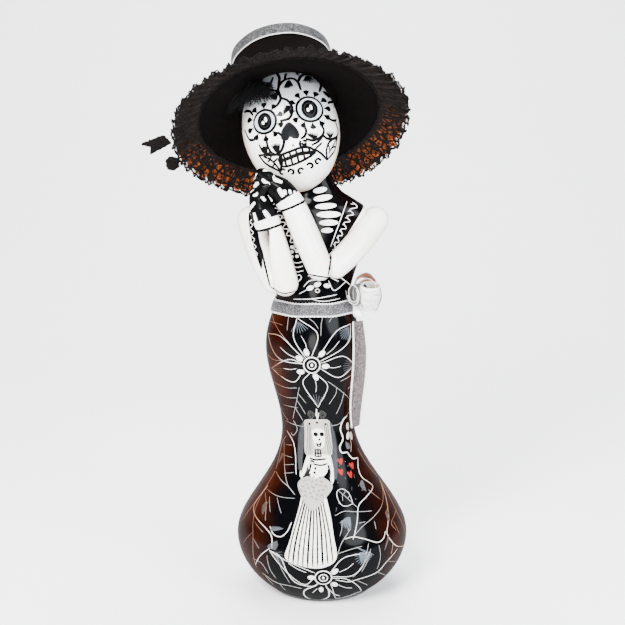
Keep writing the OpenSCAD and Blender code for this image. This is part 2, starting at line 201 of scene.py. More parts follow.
def bumpOf(tree, height, strength, distance):
    return addNode(tree, "ShaderNodeBump", {"Height": height, "Strength": strength,
                                            "Distance": distance}).outputs["Normal"]


def setMaterial(obj, mat):
    obj.data.materials.clear()
    obj.data.materials.append(mat)
    if hasattr(obj.data, "polygons"):
        obj.data.polygons.foreach_set("material_index", [0] * len(obj.data.polygons))


# ---------- the finishes ----------
# the umber and rust colours are a painted reflection of a warm room, laid into the colour of the lacquer's sides
lacquer = {
    "black": (0.0006, 0.0007, 0.001), "reflectedUmber": (0.007, 0.0012, 0.0005), "rust": (0.02, 0.0035, 0.0008),
    "coat": 0.1, "specular": 0.0, "frontFrom": 0.5, "frontTo": 0.84,
}


def frontFactor(tree, low, high):
    # 1 on the front of the figure and 0 towards the sides and back, where the painted warm reflection goes
    place = coords(tree)
    flat = addNode(tree, "ShaderNodeVectorMath", {0: place, 1: (0.0035, 0, 0)}, operation="ADD").outputs[0]
    flat = addNode(tree, "ShaderNodeVectorMath", {0: flat, 1: (1, 1, 0)}, operation="MULTIPLY").outputs[0]
    flat = addNode(tree, "ShaderNodeVectorMath", {0: flat}, operation="NORMALIZE").outputs[0]
    turned = addNode(tree, "ShaderNodeVectorMath", {0: flat, 1: (0.08, -0.997, 0)}, operation="DOT_PRODUCT")
    wander = noiseOf(tree, place, 26, 3)
    value = mathOf(tree, "ADD", turned.outputs["Value"], mathOf(tree, "MULTIPLY", mathOf(tree, "SUBTRACT", wander, 0.5), 0.3))
    return rangeOf(tree, value, low, high)


def makeBlackLacquer(name="blackLacquer", sideReflection=1.0):
    # sideReflection is how much of the painted warm reflection, in umber and rust colours, shows on the sides; the
    # front keeps the lacquer's own black
    mat, tree, shader = newMaterial(name)
    place = coords(tree)
    # the sides get the painted warm reflection and the front the black
    front = rangeOf(tree, frontFactor(tree, lacquer["frontFrom"], lacquer["frontTo"]), 0.0, 1.0, 1 - sideReflection, 1.0, "LINEAR")
    patches = rangeOf(tree, noiseOf(tree, place, 38, 5), 0.42, 0.72)
    side = mixColour(tree, patches, lacquer["reflectedUmber"], lacquer["rust"])
    colour = mixColour(tree, front, side, lacquer["black"])
    tree.links.new(colour, shader.inputs["Base Color"])
    grain = noiseOf(tree, place, 900, 3)
    lumps = noiseOf(tree, place, 70, 3)
    both = mathOf(tree, "MULTIPLY_ADD", lumps, 6.0)
    tree.links.new(grain, both.node.inputs[2])
    tree.links.new(bumpOf(tree, both, 0.25, 0.00012), shader.inputs["Normal"])
    tree.links.new(rangeOf(tree, noiseOf(tree, place, 120, 4), 0.3, 0.7, 0.16, 0.32), shader.inputs["Roughness"])
    shader.inputs["Coat Weight"].default_value = lacquer["coat"]
    shader.inputs["Coat Roughness"].default_value = 0.12
    shader.inputs["Specular IOR Level"].default_value = lacquer["specular"]
    return mat


def planeDistance(tree, place, point, way):
    # how far a place is beyond a plane, in metres
    off = addNode(tree, "ShaderNodeVectorMath", {0: place, 1: Vector(point) * mm}, operation="SUBTRACT").outputs[0]
    return addNode(tree, "ShaderNodeVectorMath", {0: off, 1: Vector(way).normalized()},
                   operation="DOT_PRODUCT").outputs["Value"]


def paintOver(mat, mask, colour):
    # a second colour where the mask is 1
    tree = mat.node_tree
    base = tree.nodes["Principled BSDF"].inputs["Base Color"]
    tree.links.new(mixColour(tree, mask, base.links[0].from_socket, colour), base)
    return mat


def makeBodiceLacquer():
    # the bodice takes only a little of the painted warm reflection on its sides
    mat = makeBlackLacquer("bodiceLacquer", 0.12)
    tree = mat.node_tree
    place = coords(tree)
    right = planeDistance(tree, place, (8, 0, 243), (33, 0, -21))
    left = planeDistance(tree, place, (-42, 0, 262), (-33, 0, -8))
    high = rangeOf(tree, planeDistance(tree, place, (0, 0, 236), (0, 0, 1)), 0.0, 0.0004)
    both = mathOf(tree, "MAXIMUM", right, left)
    return paintOver(mat, mathOf(tree, "MULTIPLY", rangeOf(tree, both, 0.0, 0.0003), high), (0.82, 0.8, 0.76))


def makeGlove(name, wrist, reach):
    # black lacquer with a rounded white cuff about the wrist
    mat = makePaint(name, (0.0018, 0.0018, 0.002), 0.35)
    tree = mat.node_tree
    away = addNode(tree, "ShaderNodeVectorMath", {0: coords(tree), 1: Vector(wrist) * mm}, operation="DISTANCE")
    cuff = rangeOf(tree, away.outputs["Value"], reach * mm, (reach + 0.3) * mm, 1.0, 0.0)
    return paintOver(mat, cuff, (0.84, 0.835, 0.82))


def makePaint(name, colour, rough=0.35, sideReflectionTint=None):
    mat, tree, shader = newMaterial(name)
    place = coords(tree)
    speckle = rangeOf(tree, noiseOf(tree, place, 420, 4), 0.3, 0.7, 0.82, 1.0, "LINEAR")
    base = colour
    # on the sides the paint turns to the given tint colour: a painted warm reflection, as on the black lacquer
    if sideReflectionTint:
        base = mixColour(tree, frontFactor(tree, 0.45, 0.8), sideReflectionTint, colour)
    else:
        base = mixColour(tree, 0.0, colour, colour)
    shade = addNode(tree, "ShaderNodeVectorMath", {0: base}, operation="SCALE")
    tree.links.new(speckle, shade.inputs["Scale"])
    tree.links.new(shade.outputs[0], shader.inputs["Base Color"])
    tree.links.new(bumpOf(tree, noiseOf(tree, place, 1500, 2), 0.3, 0.00004), shader.inputs["Normal"])
    shader.inputs["Roughness"].default_value = rough
    shader.inputs["Specular IOR Level"].default_value = 0.0
    shader.inputs["Coat Weight"].default_value = 0.08
    shader.inputs["Coat Roughness"].default_value = 0.2
    return mat


def makeWhiteLacquer():
    mat, tree, shader = newMaterial("whiteLacquer")
    place = coords(tree)
    warm = rangeOf(tree, noiseOf(tree, place, 45, 3), 0.35, 0.75)
    colour = mixColour(tree, warm, (0.86, 0.855, 0.84), (0.8, 0.77, 0.7))
    dirt = rangeOf(tree, noiseOf(tree, place, 300, 5), 0.62, 0.8)
    colour = mixColour(tree, mathOf(tree, "MULTIPLY", dirt, 0.25), colour, (0.6, 0.55, 0.47))
    # the sides that turn away from the front are painted a warm brown: a painted shade, not the lacquer's own colour
    paintedShadeFacing = addNode(tree, "ShaderNodeVectorMath", {0: addNode(tree, "ShaderNodeNewGeometry").outputs["Normal"],
                                                    1: (0, -0.98, 0.2)}, operation="DOT_PRODUCT").outputs["Value"]
    colour = mixColour(tree, rangeOf(tree, paintedShadeFacing, 0.62, 0.05, 0.0, 0.85), colour, (0.40, 0.31, 0.23))
    tree.links.new(colour, shader.inputs["Base Color"])
    lumps = noiseOf(tree, place, 80, 4)
    tree.links.new(bumpOf(tree, lumps, 0.3, 0.0005), shader.inputs["Normal"])
    tree.links.new(rangeOf(tree, noiseOf(tree, place, 150, 3), 0.3, 0.7, 0.2, 0.34), shader.inputs["Roughness"])
    shader.inputs["Coat Weight"].default_value = 0.25
    shader.inputs["Coat Roughness"].default_value = 0.15
    shader.inputs["Subsurface Weight"].default_value = 0.05
    shader.inputs["Subsurface Scale"].default_value = 0.004
    return mat


def makeFelt(name, colour, sheen=0.35):
    mat, tree, shader = newMaterial(name)
    place = coords(tree)
    fuzz = noiseOf(tree, place, 900, 6, 0.7)
    blotch = noiseOf(tree, place, 60, 3)
    deep = tuple(c * 0.45 for c in colour)
    tree.links.new(mixColour(tree, rangeOf(tree, blotch, 0.3, 0.7), deep, colour), shader.inputs["Base Color"])
    tree.links.new(bumpOf(tree, fuzz, 0.7, 0.0004), shader.inputs["Normal"])
    shader.inputs["Roughness"].default_value = 0.95
    shader.inputs["Specular IOR Level"].default_value = 0.04
    shader.inputs["Sheen Weight"].default_value = sheen
    shader.inputs["Sheen Roughness"].default_value = 0.6
    return mat


def makeRibbon(name, colour, glitter=0.8, along="UV", cover=0.9):
    # a sheer woven ribbon: u runs along it in millimetres and v across it
    mat, tree, shader = newMaterial(name)
    uv = coords(tree, "UV")
    parts = addNode(tree, "ShaderNodeSeparateXYZ", {0: uv})
    warp = mathOf(tree, "SINE", mathOf(tree, "MULTIPLY", parts.outputs["X"], 9.0))
    weft = mathOf(tree, "SINE", mathOf(tree, "MULTIPLY", parts.outputs["Y"], 9.0))
    weave = mathOf(tree, "MULTIPLY", warp, weft)
    spark = addNode(tree, "ShaderNodeTexVoronoi", {"Vector": uv, "Scale": 2.4}, feature="F1").outputs["Color"]
    sparkle = rangeOf(tree, addNode(tree, "ShaderNodeSeparateColor", {0: spark}).outputs[0], 0.62, 1.0)
    streak = noiseOf(tree, addNode(tree, "ShaderNodeVectorMath", {0: uv, 1: (0.12, 2.2, 1)},
                                   operation="MULTIPLY").outputs[0], 1.0, 4)
    dark = tuple(c * 0.42 for c in colour)
    base = mixColour(tree, rangeOf(tree, streak, 0.32, 0.66), dark, colour)
    base = mixColour(tree, mathOf(tree, "MULTIPLY", sparkle, glitter), base, (0.85, 0.86, 0.88))
    teeth = mathOf(tree, "SINE", mathOf(tree, "MULTIPLY", parts.outputs["X"], 5.2))
    off = mathOf(tree, "ABSOLUTE", mathOf(tree, "SUBTRACT", parts.outputs["Y"], 5.0))
    border = rangeOf(tree, mathOf(tree, "ADD", off, mathOf(tree, "MULTIPLY", teeth, 0.3)), 4.2, 4.4)
    base = mixColour(tree, border, base, (0.86, 0.86, 0.87))
    tree.links.new(base, shader.inputs["Base Color"])
    tree.links.new(bumpOf(tree, weave, 0.5, 0.00015), shader.inputs["Normal"])
    tree.links.new(rangeOf(tree, sparkle, 0.0, 1.0, 0.55, 0.25), shader.inputs["Roughness"])
    shader.inputs["Specular IOR Level"].default_value = 0.1
    if cover < 1:
        holes = rangeOf(tree, weave, -1.0, -0.6, cover - 0.25, 1.0)
        tree.links.new(holes, shader.inputs["Alpha"])
    return mat


def makeLace():
    # u is along the lace and v across it, from the seam, both in millimetres
    mat, tree, shader = newMaterial("blackLace")
    uv = coords(tree, "UV")
    warped = addNode(tree, "ShaderNodeVectorMath", {0: uv, 1: addNode(tree, "ShaderNodeTexNoise", {
        "Vector": uv, "Scale": 0.28, "Detail": 2.0}).outputs["Color"]}, operation="ADD").outputs[0]
    net = addNode(tree, "ShaderNodeTexVoronoi", {"Vector": uv, "Scale": 0.95}, feature="DISTANCE_TO_EDGE")
    threads = rangeOf(tree, net.outputs["Distance"], 0.13, 0.2, 1.0, 0.0)
    motif = addNode(tree, "ShaderNodeTexVoronoi", {"Vector": warped, "Scale": 0.2}, feature="DISTANCE_TO_EDGE")
    petals = rangeOf(tree, motif.outputs["Distance"], 0.11, 0.165, 1.0, 0.0)
    heart = addNode(tree, "ShaderNodeTexVoronoi", {"Vector": warped, "Scale": 0.2}, feature="F1")
    centre = rangeOf(tree, heart.outputs["Distance"], 0.2, 0.26, 1.0, 0.0)
    across = addNode(tree, "ShaderNodeSeparateXYZ", {0: uv}).outputs["Y"]
    seam = rangeOf(tree, across, 2.0, 3.5, 1.0, 0.0)
    rim = rangeOf(tree, across, 20.5, 21.5, 0.0, 1.0)
    solid = mathOf(tree, "MAXIMUM", petals, centre)
    solid = mathOf(tree, "MAXIMUM", solid, mathOf(tree, "MULTIPLY", threads, 0.8))
    solid = mathOf(tree, "MAXIMUM", solid, mathOf(tree, "MAXIMUM", seam, rim))
    tree.links.new(solid, shader.inputs["Alpha"])
    sideReflectionTint = mixColour(tree, rangeOf(tree, noiseOf(tree, uv, 0.35, 4), 0.35, 0.7), (0.0012, 0.0009, 0.0008), (0.007, 0.0045, 0.0035))
    tree.links.new(sideReflectionTint, shader.inputs["Base Color"])
    tree.links.new(bumpOf(tree, solid, 0.8, 0.0003), shader.inputs["Normal"])
    shader.inputs["Roughness"].default_value = 0.75
    shader.inputs["Specular IOR Level"].default_value = 0.06
    return mat


def makeLining():
    mat, tree, shader = newMaterial("rustLining")
    uv = coords(tree, "UV")
    place = coords(tree)
    back = addNode(tree, "ShaderNodeSeparateXYZ", {0: place}).outputs["Y"]
    patch = rangeOf(tree, noiseOf(tree, uv, 0.22, 4), 0.35, 0.65)
    rust = mixColour(tree, patch, (0.27, 0.047, 0.008), (0.52, 0.125, 0.022))
    # the front half of the lining is painted near black: a painted shade; the back keeps the rust colour of the cloth
    colour = mixColour(tree, rangeOf(tree, back, 0.0, 0.03), (0.006, 0.003, 0.0025), rust)
    tree.links.new(colour, shader.inputs["Base Color"])
    tree.links.new(bumpOf(tree, noiseOf(tree, uv, 3.0, 3), 0.5, 0.0002), shader.inputs["Normal"])
    shader.inputs["Roughness"].default_value = 0.6
    shader.inputs["Specular IOR Level"].default_value = 0.1
    return mat


def makeYarn(name, colour):
    mat, tree, shader = newMaterial(name)
    place = coords(tree)
    tree.links.new(mixColour(tree, noiseOf(tree, place, 500, 3), tuple(c * 0.4 for c in colour), colour),
                   shader.inputs["Base Color"])
    tree.links.new(bumpOf(tree, noiseOf(tree, place, 2600, 2), 0.6, 0.0001), shader.inputs["Normal"])
    shader.inputs["Roughness"].default_value = 0.8
    shader.inputs["Specular IOR Level"].default_value = 0.06
    return mat


def makeGrained(name, light, dark, scale, stretch, rough, metallic=0.0):
    # wood, card, plaster and wire differ only in their colours and in how their grain is stretched
    mat, tree, shader = newMaterial(name)
    place = addNode(tree, "ShaderNodeVectorMath", {0: coords(tree), 1: stretch}, operation="MULTIPLY").outputs[0]
    grain = noiseOf(tree, place, scale, 6)
    tree.links.new(mixColour(tree, rangeOf(tree, grain, 0.35, 0.65), dark, light), shader.inputs["Base Color"])
    tree.links.new(bumpOf(tree, grain, 0.4, 0.0003), shader.inputs["Normal"])
    shader.inputs["Roughness"].default_value = rough
    shader.inputs["Metallic"].default_value = metallic
    return mat


def makeFaceLacquer():
    mat = makeWhiteLacquer()
    mat.name = "faceLacquer"
    tree = mat.node_tree
    place = coords(tree)
    # the top of the face, under the hat's brim, is painted a cool grey: a painted shadow of the brim
    paintedBrimShadow = rangeOf(tree, planeDistance(tree, place, (-21, -30, 335), (0, 0.2, 1)), -0.014, 0.02, 0.0, 0.8)
    return paintOver(mat, paintedBrimShadow, (0.2, 0.225, 0.25))


finish = {
    "bodiceLacquer": makeBodiceLacquer(),
    "faceLacquer": makeFaceLacquer(),
    "gloveLeft": makeGlove("gloveLeft", (-35.5, -34.9, 263), 11.4),
    "gloveRight": makeGlove("gloveRight", (-19.5, -34.9, 277.5), 11.6),
    "ladyPaint": makePaint("ladyPaint", (0.78, 0.765, 0.73), 0.4),
    "linePaint": makePaint("linePaint", (0.03, 0.03, 0.029), 0.4),
    "palePaint": makePaint("palePaint", (0.4, 0.44, 0.48), 0.35),
    "blackLacquer": makeBlackLacquer(),
    "whiteLacquer": makeWhiteLacquer(),
    "whitePaint": makePaint("whitePaint", (0.66, 0.66, 0.65), 0.35, sideReflectionTint=(0.26, 0.14, 0.085)),
    "purePaint": makePaint("purePaint", (0.87, 0.87, 0.86), 0.35),
    "creamPaint": makePaint("creamPaint", (0.32, 0.31, 0.29), 0.45),
    "greyPaint": makePaint("greyPaint", (0.055, 0.058, 0.064), 0.4, sideReflectionTint=(0.045, 0.024, 0.016)),
    "bluePaint": makePaint("bluePaint", (0.08, 0.095, 0.115), 0.4),
    "blackPaint": makePaint("blackPaint", (0.001, 0.001, 0.0012), 0.4),
    "veinPaint": makePaint("veinPaint", (0.28, 0.28, 0.28), 0.35, sideReflectionTint=(0.14, 0.07, 0.045)),
    "veilPaint": makePaint("veilPaint", (0.03, 0.031, 0.034), 0.4),
    "charcoalPaint": makePaint("charcoalPaint", (0.005, 0.0053, 0.006), 0.4),
    "redPaint": makePaint("redPaint", (0.22, 0.012, 0.01), 0.35),
    "feltDark": makeFelt("feltDark", (0.001, 0.0004, 0.0004), 0.0),
    "baseFelt": makeFelt("baseFelt", (0.09, 0.09, 0.09)),
    "bandRibbon": makeRibbon("bandRibbon", (0.016, 0.016, 0.018), 0.16),
    "silverRibbon": makeRibbon("silverRibbon", (0.055, 0.053, 0.06), 0.2),
    "tailRibbon": makeRibbon("tailRibbon", (0.055, 0.04, 0.04), 0.15),
    "bowRibbon": makeRibbon("bowRibbon", (0.78, 0.77, 0.74), 0.7),
    "silverBow": makeRibbon("silverBow", (0.12, 0.115, 0.11), 0.3),
    "rustRibbon": makeRibbon("rustRibbon", (0.42, 0.1, 0.02), 0.1),
    "amberRibbon": makeRibbon("amberRibbon", (0.75, 0.27, 0.02), 0.1),
    "hairYarn": makeYarn("hairYarn", (0.0035, 0.0035, 0.004)),
    "whiteCord": makeYarn("whiteCord", (0.86, 0.86, 0.86)),
    "blackLace": makeLace(),
    "rustLining": makeLining(),
    "blackYarn": makeYarn("blackYarn", (0.003, 0.0022, 0.002)),
    "pine": makeGrained("pine", (0.68, 0.5, 0.3), (0.5, 0.33, 0.17), 60, (6, 6, 1), 0.6),
    "card": makeGrained("card", (0.5, 0.42, 0.32), (0.4, 0.33, 0.25), 300, (1, 1, 3), 0.9),
    "plaster": makeGrained("plaster", (0.86, 0.84, 0.8), (0.75, 0.73, 0.69), 90, (1, 1, 1), 0.85),
    "steelWire": makeGrained("steelWire", (0.5, 0.5, 0.52), (0.35, 0.35, 0.36), 400, (1, 1, 1), 0.35, 0.9),
}
print("finishes made")


# ---------- brush work: paint is a thin layer that follows the skin ----------
paint = {}
brush = {"lift": 0.13, "tuck": -0.08, "step": 0.55, "under": -0.3}


def smoothPath(points, closed=False, sub=8):
    # Catmull-Rom curve through the points
    pts = [Vector((p[0], p[1])) for p in points]
    count = len(pts)
    path = []
    for i in range(count if closed else count - 1):
        if closed:
            a, b, c, d = (pts[(i + k) % count] for k in (-1, 0, 1, 2))
        else:
            b, c = pts[i], pts[i + 1]
            a = pts[i - 1] if i else b * 2 - c
            d = pts[i + 2] if i + 2 < count else c * 2 - b
        for j in range(sub):
            t = j / sub
            path.append(0.5 * (2 * b + (c - a) * t + (2 * a - 5 * b + 4 * c - d) * t * t
                               + (3 * b - a - 3 * c + d) * t ** 3))
    return path if closed else path + [pts[-1]]


def wrapped(tree, axisAt):
    # places given as degrees from the front and a height
    def find(u, v):
        way = Vector((math.sin(math.radians(u)), -math.cos(math.radians(u)), 0))
        return tree.ray_cast(Vector((axisAt(v), 0, v)) + way * 150, -way)[:2]
    return find


def fromFront(tree, turn=Matrix(), way=1):
    # places given as x and z of a front view, or of a back view where way is -1
    def find(u, v):
        return tree.ray_cast(turn @ Vector((u, -150 * way, v)), turn.to_3x3() @ Vector((0, way, 0)))[:2]
    return find


def addStroke(group, find, points, width, lift=None, closed=False, taper=0.45, curved=True):
    lift = brush["lift"] if lift is None else lift
    path = smoothPath(points, closed) if curved else smoothPath([p for p in points], closed, 4)
    spots = []
    for place in path:
        spot, normal = find(place[0], place[1])
        if spot is not None and (not spots or (spot - spots[-1][0]).length > brush["step"]):
            spots.append((spot, normal))
    if len(spots) < 2:
        return
    verts, faces = paint.setdefault(group, ([], []))
    start, count = len(verts), len(spots)
    run = [0.0]
    for i in range(1, count):
        run.append(run[-1] + (spots[i][0] - spots[i - 1][0]).length)
    for i, (spot, normal) in enumerate(spots):
        before = spots[(i - 1) % count if closed else max(i - 1, 0)][0]
        after = spots[(i + 1) % count if closed else min(i + 1, count - 1)][0]
        across = normal.cross(after - before).normalized()
        half = width / 2
        if not closed:
            half *= taper + (1 - taper) * min(1, math.sqrt(min(run[i], run[-1] - run[i]) / (2.5 * width)))
        for side, up in ((-1, brush["tuck"]), (-0.5, lift), (0.5, lift), (1, brush["tuck"]), (0, brush["under"])):
            verts.append(spot + across * half * side + normal * up)
    for i in range(count if closed else count - 1):
        a, b = start + 5 * i, start + 5 * ((i + 1) % count)
        faces += [(a + k, a + (k + 1) % 5, b + (k + 1) % 5, b + k) for k in range(5)]
    if not closed:
        last = start + 5 * (count - 1)
        faces += [tuple(range(start, start + 5)), tuple(range(last + 4, last - 1, -1))]


def addBlob(group, find, points, lift=None, curved=True):
    # a filled shape; every point of its edge is in sight of its middle
    lift = brush["lift"] if lift is None else lift
    edge = smoothPath(points, True, 6)
    if not curved:
        edge = []
        for i, p in enumerate(points):
            q = points[(i + 1) % len(points)]
            edge += [Vector((p[0] + (q[0] - p[0]) * j / 6, p[1] + (q[1] - p[1]) * j / 6)) for j in range(6)]
    middle = sum(edge, Vector((0, 0))) / len(edge)
    found = []
    shares = (1.0, 0.96, 0.85, 0.7, 0.55, 0.4, 0.25, 0.12)
    for share in shares:
        row = [find(*(middle + (p - middle) * share)) for p in edge]
        if any(spot is None for spot, _ in row):
            return
        found.append([spot + normal * (brush["tuck"] if share == 1 else lift) for spot, normal in row])
    centre, normal = find(*middle)
    verts, faces = paint.setdefault(group, ([], []))
    start, count = len(verts), len(edge)
    for row in found:
        verts += row
    top, bottom = len(verts), len(verts) + 1
    verts += [centre + normal * lift, sum(found[0], Vector()) / count - normal * 0.3]
    for r in range(len(shares) - 1):
        a, b = start + r * count, start + (r + 1) * count
        faces += [(a + i, a + (i + 1) % count, b + (i + 1) % count, b + i) for i in range(count)]
    a = start + (len(shares) - 1) * count
    faces += [(a + i, a + (i + 1) % count, top) for i in range(count)]
    faces += [(start + (i + 1) % count, start + i, bottom) for i in range(count)]


def ovalPoints(u, v, ru, rv, tilt=0, per=1.0, count=12):
    # per is how many units of u a millimetre takes
    c, s = math.cos(math.radians(tilt)), math.sin(math.radians(tilt))
    out = []
    for i in range(count):
        a = 2 * math.pi * i / count
        x, z = ru * math.cos(a), rv * math.sin(a)
        out.append((u + (x * c - z * s) * per, v + x * s + z * c))
    return out


def dropPoints(u, v, angle, near, far, wide, per=1.0):
    # a teardrop that points at u, v; angle is counted from +u towards +v
    c, s = math.cos(math.radians(angle)), math.sin(math.radians(angle))
    long = far - near
    half = [(0.3, 0.45), (0.6, 0.95), (0.8, 1.0), (0.95, 0.6)]
    shape = [(near, 0)] + [(near + long * x, wide * y) for x, y in half] + [(far, 0)]
    shape += [(near + long * x, -wide * y) for x, y in reversed(half)]
    return [(u + (x * c - z * s) * per, v + x * s + z * c) for x, z in shape]


def addHatch(group, find, base, tip, half, width=0.45, count=7, near=0.6, far=0.92):
    # a fan of short strokes that ends at the tip of a petal; half is half the petal's width, sideways
    base, tip = Vector(base), Vector(tip)
    for i in range(count):
        s = 2 * i / (count - 1) - 1
        side = Vector(half) * s
        first = base.lerp(tip, near + 0.08 * abs(s)) + side * 0.75
        addStroke(group, find, [first, base.lerp(tip, far - 0.06 * abs(s)) + side * 0.22], width)


def addPetal(line, shade, find, base, left, tip, right, width=0.56, rib=0.38):
    base, left, tip, right = (Vector(p) for p in (base, left, tip, right))
    spread = (right - left) / 2
    addStroke(line, find, [base - spread * 0.25, left, tip], width, taper=0.6)
    addStroke(line, find, [base + spread * 0.25, right, tip], width, taper=0.6)
    if rib:
        addStroke(line, find, [base.lerp(tip, 0.18) + spread * 0.1, base.lerp(tip, 0.36) + spread * 0.14,
                               base.lerp(tip, 0.55)], rib)
    if shade:
        addHatch(shade, find, base, tip, spread)


def addLeaf(line, find, spine, wide, veins=5, width=0.6, per=1.0, reach=1.0):
    # an outline about a spine, with side veins; wide is its half width in millimetres
    path = smoothPath(spine, False, 10)
    count = len(path)
    sides = {1: [], -1: []}
    for i in range(0, count, 3):
        t = i / (count - 1)
        ahead = path[min(i + 1, count - 1)] - path[max(i - 1, 0)]
        off = Vector((-ahead[1] * per, ahead[0] / per))
        off = off / max(math.hypot(off[0] / per, off[1]), 1e-6)
        for s in sides:
            sides[s].append(path[i] + off * s * wide * math.sin(math.pi * t) ** 0.75)
    for s in sides:
        addStroke(line, find, sides[s] + [path[-1]], width, taper=0.6)
    addStroke(line, find, spine, width * 0.8)
    for k in range(veins):
        i = int(count * (0.18 + 0.62 * k / max(veins - 1, 1)))
        for s in sides:
            j = min(i // 3 + 2, len(sides[s]) - 1)
            target = path[i].lerp(sides[s][j], 0.8 * reach)
            addStroke(line, find, [path[i], target], width * 0.65)


def finishPaint(name, group, look, slotName, body="figure"):
    verts, faces = paint.pop(group)
    obj = meshObject(name, verts, faces)
    fixNormals(obj)
    setMaterial(obj, finish[look])
    return standFor(obj, body, [], slotName)
# ---------- smooth skins over the paper shells ----------
bodyAxis = {"lean": 6.5, "from": 65.5, "to": 178, "knee": 122, "waist": 209}
headPlace = (-21.5, -2, 327)
headTurn = (-15, -12)
hatTurn = (-40, -9)
hatSeat = 12
wrists = {"left": ((-35.5, -34.9, 264.5), (-25, -34.9, 227)), "right": ((-19.5, -34.9, 279), (-2, -34.9, 237.5))}


def placed(turn, lift=0):
    # the frame of the head or the hat, in millimetres
    return (Matrix.Translation(headPlace) @ Matrix.Rotation(math.radians(turn[1]), 4, "Y")
            @ Matrix.Rotation(math.radians(turn[0]), 4, "X") @ Matrix.Translation((0, 0, lift)))


headFrame = placed(headTurn)
hatFrame = placed(hatTurn, hatSeat)


def axisAt(z):
    t = min(max((z - bodyAxis["from"]) / (bodyAxis["to"] - bodyAxis["from"]), 0), 1)
    if z > bodyAxis["waist"]:
        return -5.5
    return -bodyAxis["lean"] * (1 - math.cos(math.pi * t)) / 2


def loftSkin(name, nodes, levels, seam=None):
    # seam is the height at which two shells meet, where their end faces go
    obj = copyOfNodes(name, nodes)
    bm = bmesh.new()
    bm.from_mesh(obj.data)
    if seam:
        inner = [f for f in bm.faces if all(abs(v.co.z / mm - seam) < 0.05 for v in f.verts)]
        bmesh.ops.delete(bm, geom=inner, context="FACES_ONLY")
    bmesh.ops.join_triangles(bm, faces=bm.faces, angle_face_threshold=math.radians(35),
                             angle_shape_threshold=math.radians(60))
    crease = bm.edges.layers.float.get("crease_edge") or bm.edges.layers.float.new("crease_edge")
    for edge in bm.edges:
        if len(edge.link_faces) == 2 and edge.calc_face_angle(0) > math.radians(50):
            edge[crease] = 0.85
    bmesh.ops.recalc_face_normals(bm, faces=bm.faces)
    bm.to_mesh(obj.data)
    bm.free()
    obj.modifiers.new("round", "SUBSURF").levels = levels
    applyModifiers(obj)
    obj.data.shade_smooth()
    return obj


def pulpSkin(name, nodes, voxel=0.7, passes=8, rings=()):
    # a hand-smoothed paper surface over built-up solids; rings (x, z, half width, half depth) add a filled transition
    obj = copyOfNodes(name, nodes)
    if rings:
        count = 40
        verts = [Vector((x + rx * math.cos(math.tau * i / count), ry * math.sin(math.tau * i / count), z)) * mm
                 for x, z, rx, ry in rings for i in range(count)]
        faces = [(r * count + i, r * count + (i + 1) % count, (r + 1) * count + (i + 1) % count, (r + 1) * count + i)
                 for r in range(len(rings) - 1) for i in range(count)]
        faces += [tuple(range(count - 1, -1, -1)), tuple(range(len(verts) - count, len(verts)))]
        bm = bmesh.new()
        bm.from_mesh(obj.data)
        extra = [bm.verts.new(v) for v in verts]
        for face in faces:
            bm.faces.new([extra[i] for i in face])
        bm.to_mesh(obj.data)
        bm.free()
    remesh = obj.modifiers.new("remesh", "REMESH")
    remesh.mode = "VOXEL"
    remesh.voxel_size = voxel * mm
    applyModifiers(obj)
    smooth = obj.modifiers.new("smooth", "SMOOTH")
    smooth.factor = 0.5
    smooth.iterations = passes
    applyModifiers(obj)
    obj.data.shade_smooth()
    return obj


def standFor(obj, body, nodes, slotName):
    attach(obj, body)
    if nodes:
        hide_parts(*nodes)
    return obj


setCamera()
setLights()

skirtNodes = ["skirt_flare_shell", "skirt_hip_shell"]
skirtSkin = loftSkin("skirtSkin", skirtNodes, 2, bodyAxis["knee"])
setMaterial(skirtSkin, finish["blackLacquer"])
standFor(skirtSkin, figureBody, skirtNodes, "black_lacquer")
shoulderRings = [(-5, 276, 33, 14), (-5, 281, 25, 13), (-5, 285, 18.5, 12.2), (-5, 290, 14, 11.4), (-5, 297, 10.8, 10.8)]
bodiceSkin = pulpSkin("bodiceSkin", ["bodice_shell", "neck"], 0.8, 20, shoulderRings)
setMaterial(bodiceSkin, finish["bodiceLacquer"])
standFor(bodiceSkin, figureBody, ["bodice_shell", "neck"], "black_lacquer")
headSkin = pulpSkin("headSkin", ["face_shell", "skull_back_shell"], 0.8, 10)
setMaterial(headSkin, finish["faceLacquer"])
standFor(headSkin, figureBody, ["face_shell", "skull_back_shell"], "white_lacquer")
limbs = {}
for side in ("left", "right"):
    for part, node, voxel, passes, look, slotName in (
            ("upperArm", "upper_arm_", 0.7, 8, "whiteLacquer", "white_lacquer"),
            ("foreArm", "forearm_", 0.7, 8, "whiteLacquer", "white_lacquer"),
            ("hand", "hand_", 0.5, 4, "glove" + side.title(), "black_lacquer")):
        obj = pulpSkin(part + side.title(), [node + side], voxel, passes)
        setMaterial(obj, finish[look])
        limbs[part + side.title()] = standFor(obj, figureBody, [node + side], slotName)
print("skins made")
# ---------- paint on the skirt: degrees from the front, and heights ----------
skirtTree = surfaceOf(skirtSkin)
onSkirt = wrapped(skirtTree, axisAt)


def perMm(z):
    # degrees that a millimetre takes, at a height on the skirt
    spot, _ = onSkirt(0, z)
    return 57.3 / max((spot - Vector((axisAt(z), 0, z))).length, 1)


def addFlower(spot, ring, petals, stamens, line="skirtWhite"):
    # petals: left bulge, tip, right bulge and the colour of the shading
    u, v = spot
    per = perMm(v)
    for left, tip, right, shade in petals:
        way = Vector(((tip[0] - u) / per, tip[1] - v)).normalized() * (ring + 0.4)
        addPetal(line, shade, onSkirt, (u + way[0] * per, v + way[1]), left, tip, right)
    for r, wide in ((ring, 1.0), (ring * 0.5, 0.9)):
        addStroke(line, onSkirt, ovalPoints(u, v, r, r, 0, per), wide, closed=True)
    addBlob(line, onSkirt, ovalPoints(u, v, 0.9, 1.1, 0, per, 8))
    for x, z, tilt in stamens:
        addBlob(line, onSkirt, ovalPoints(x, z, 2.7, 1.8, tilt, per), 0.2)


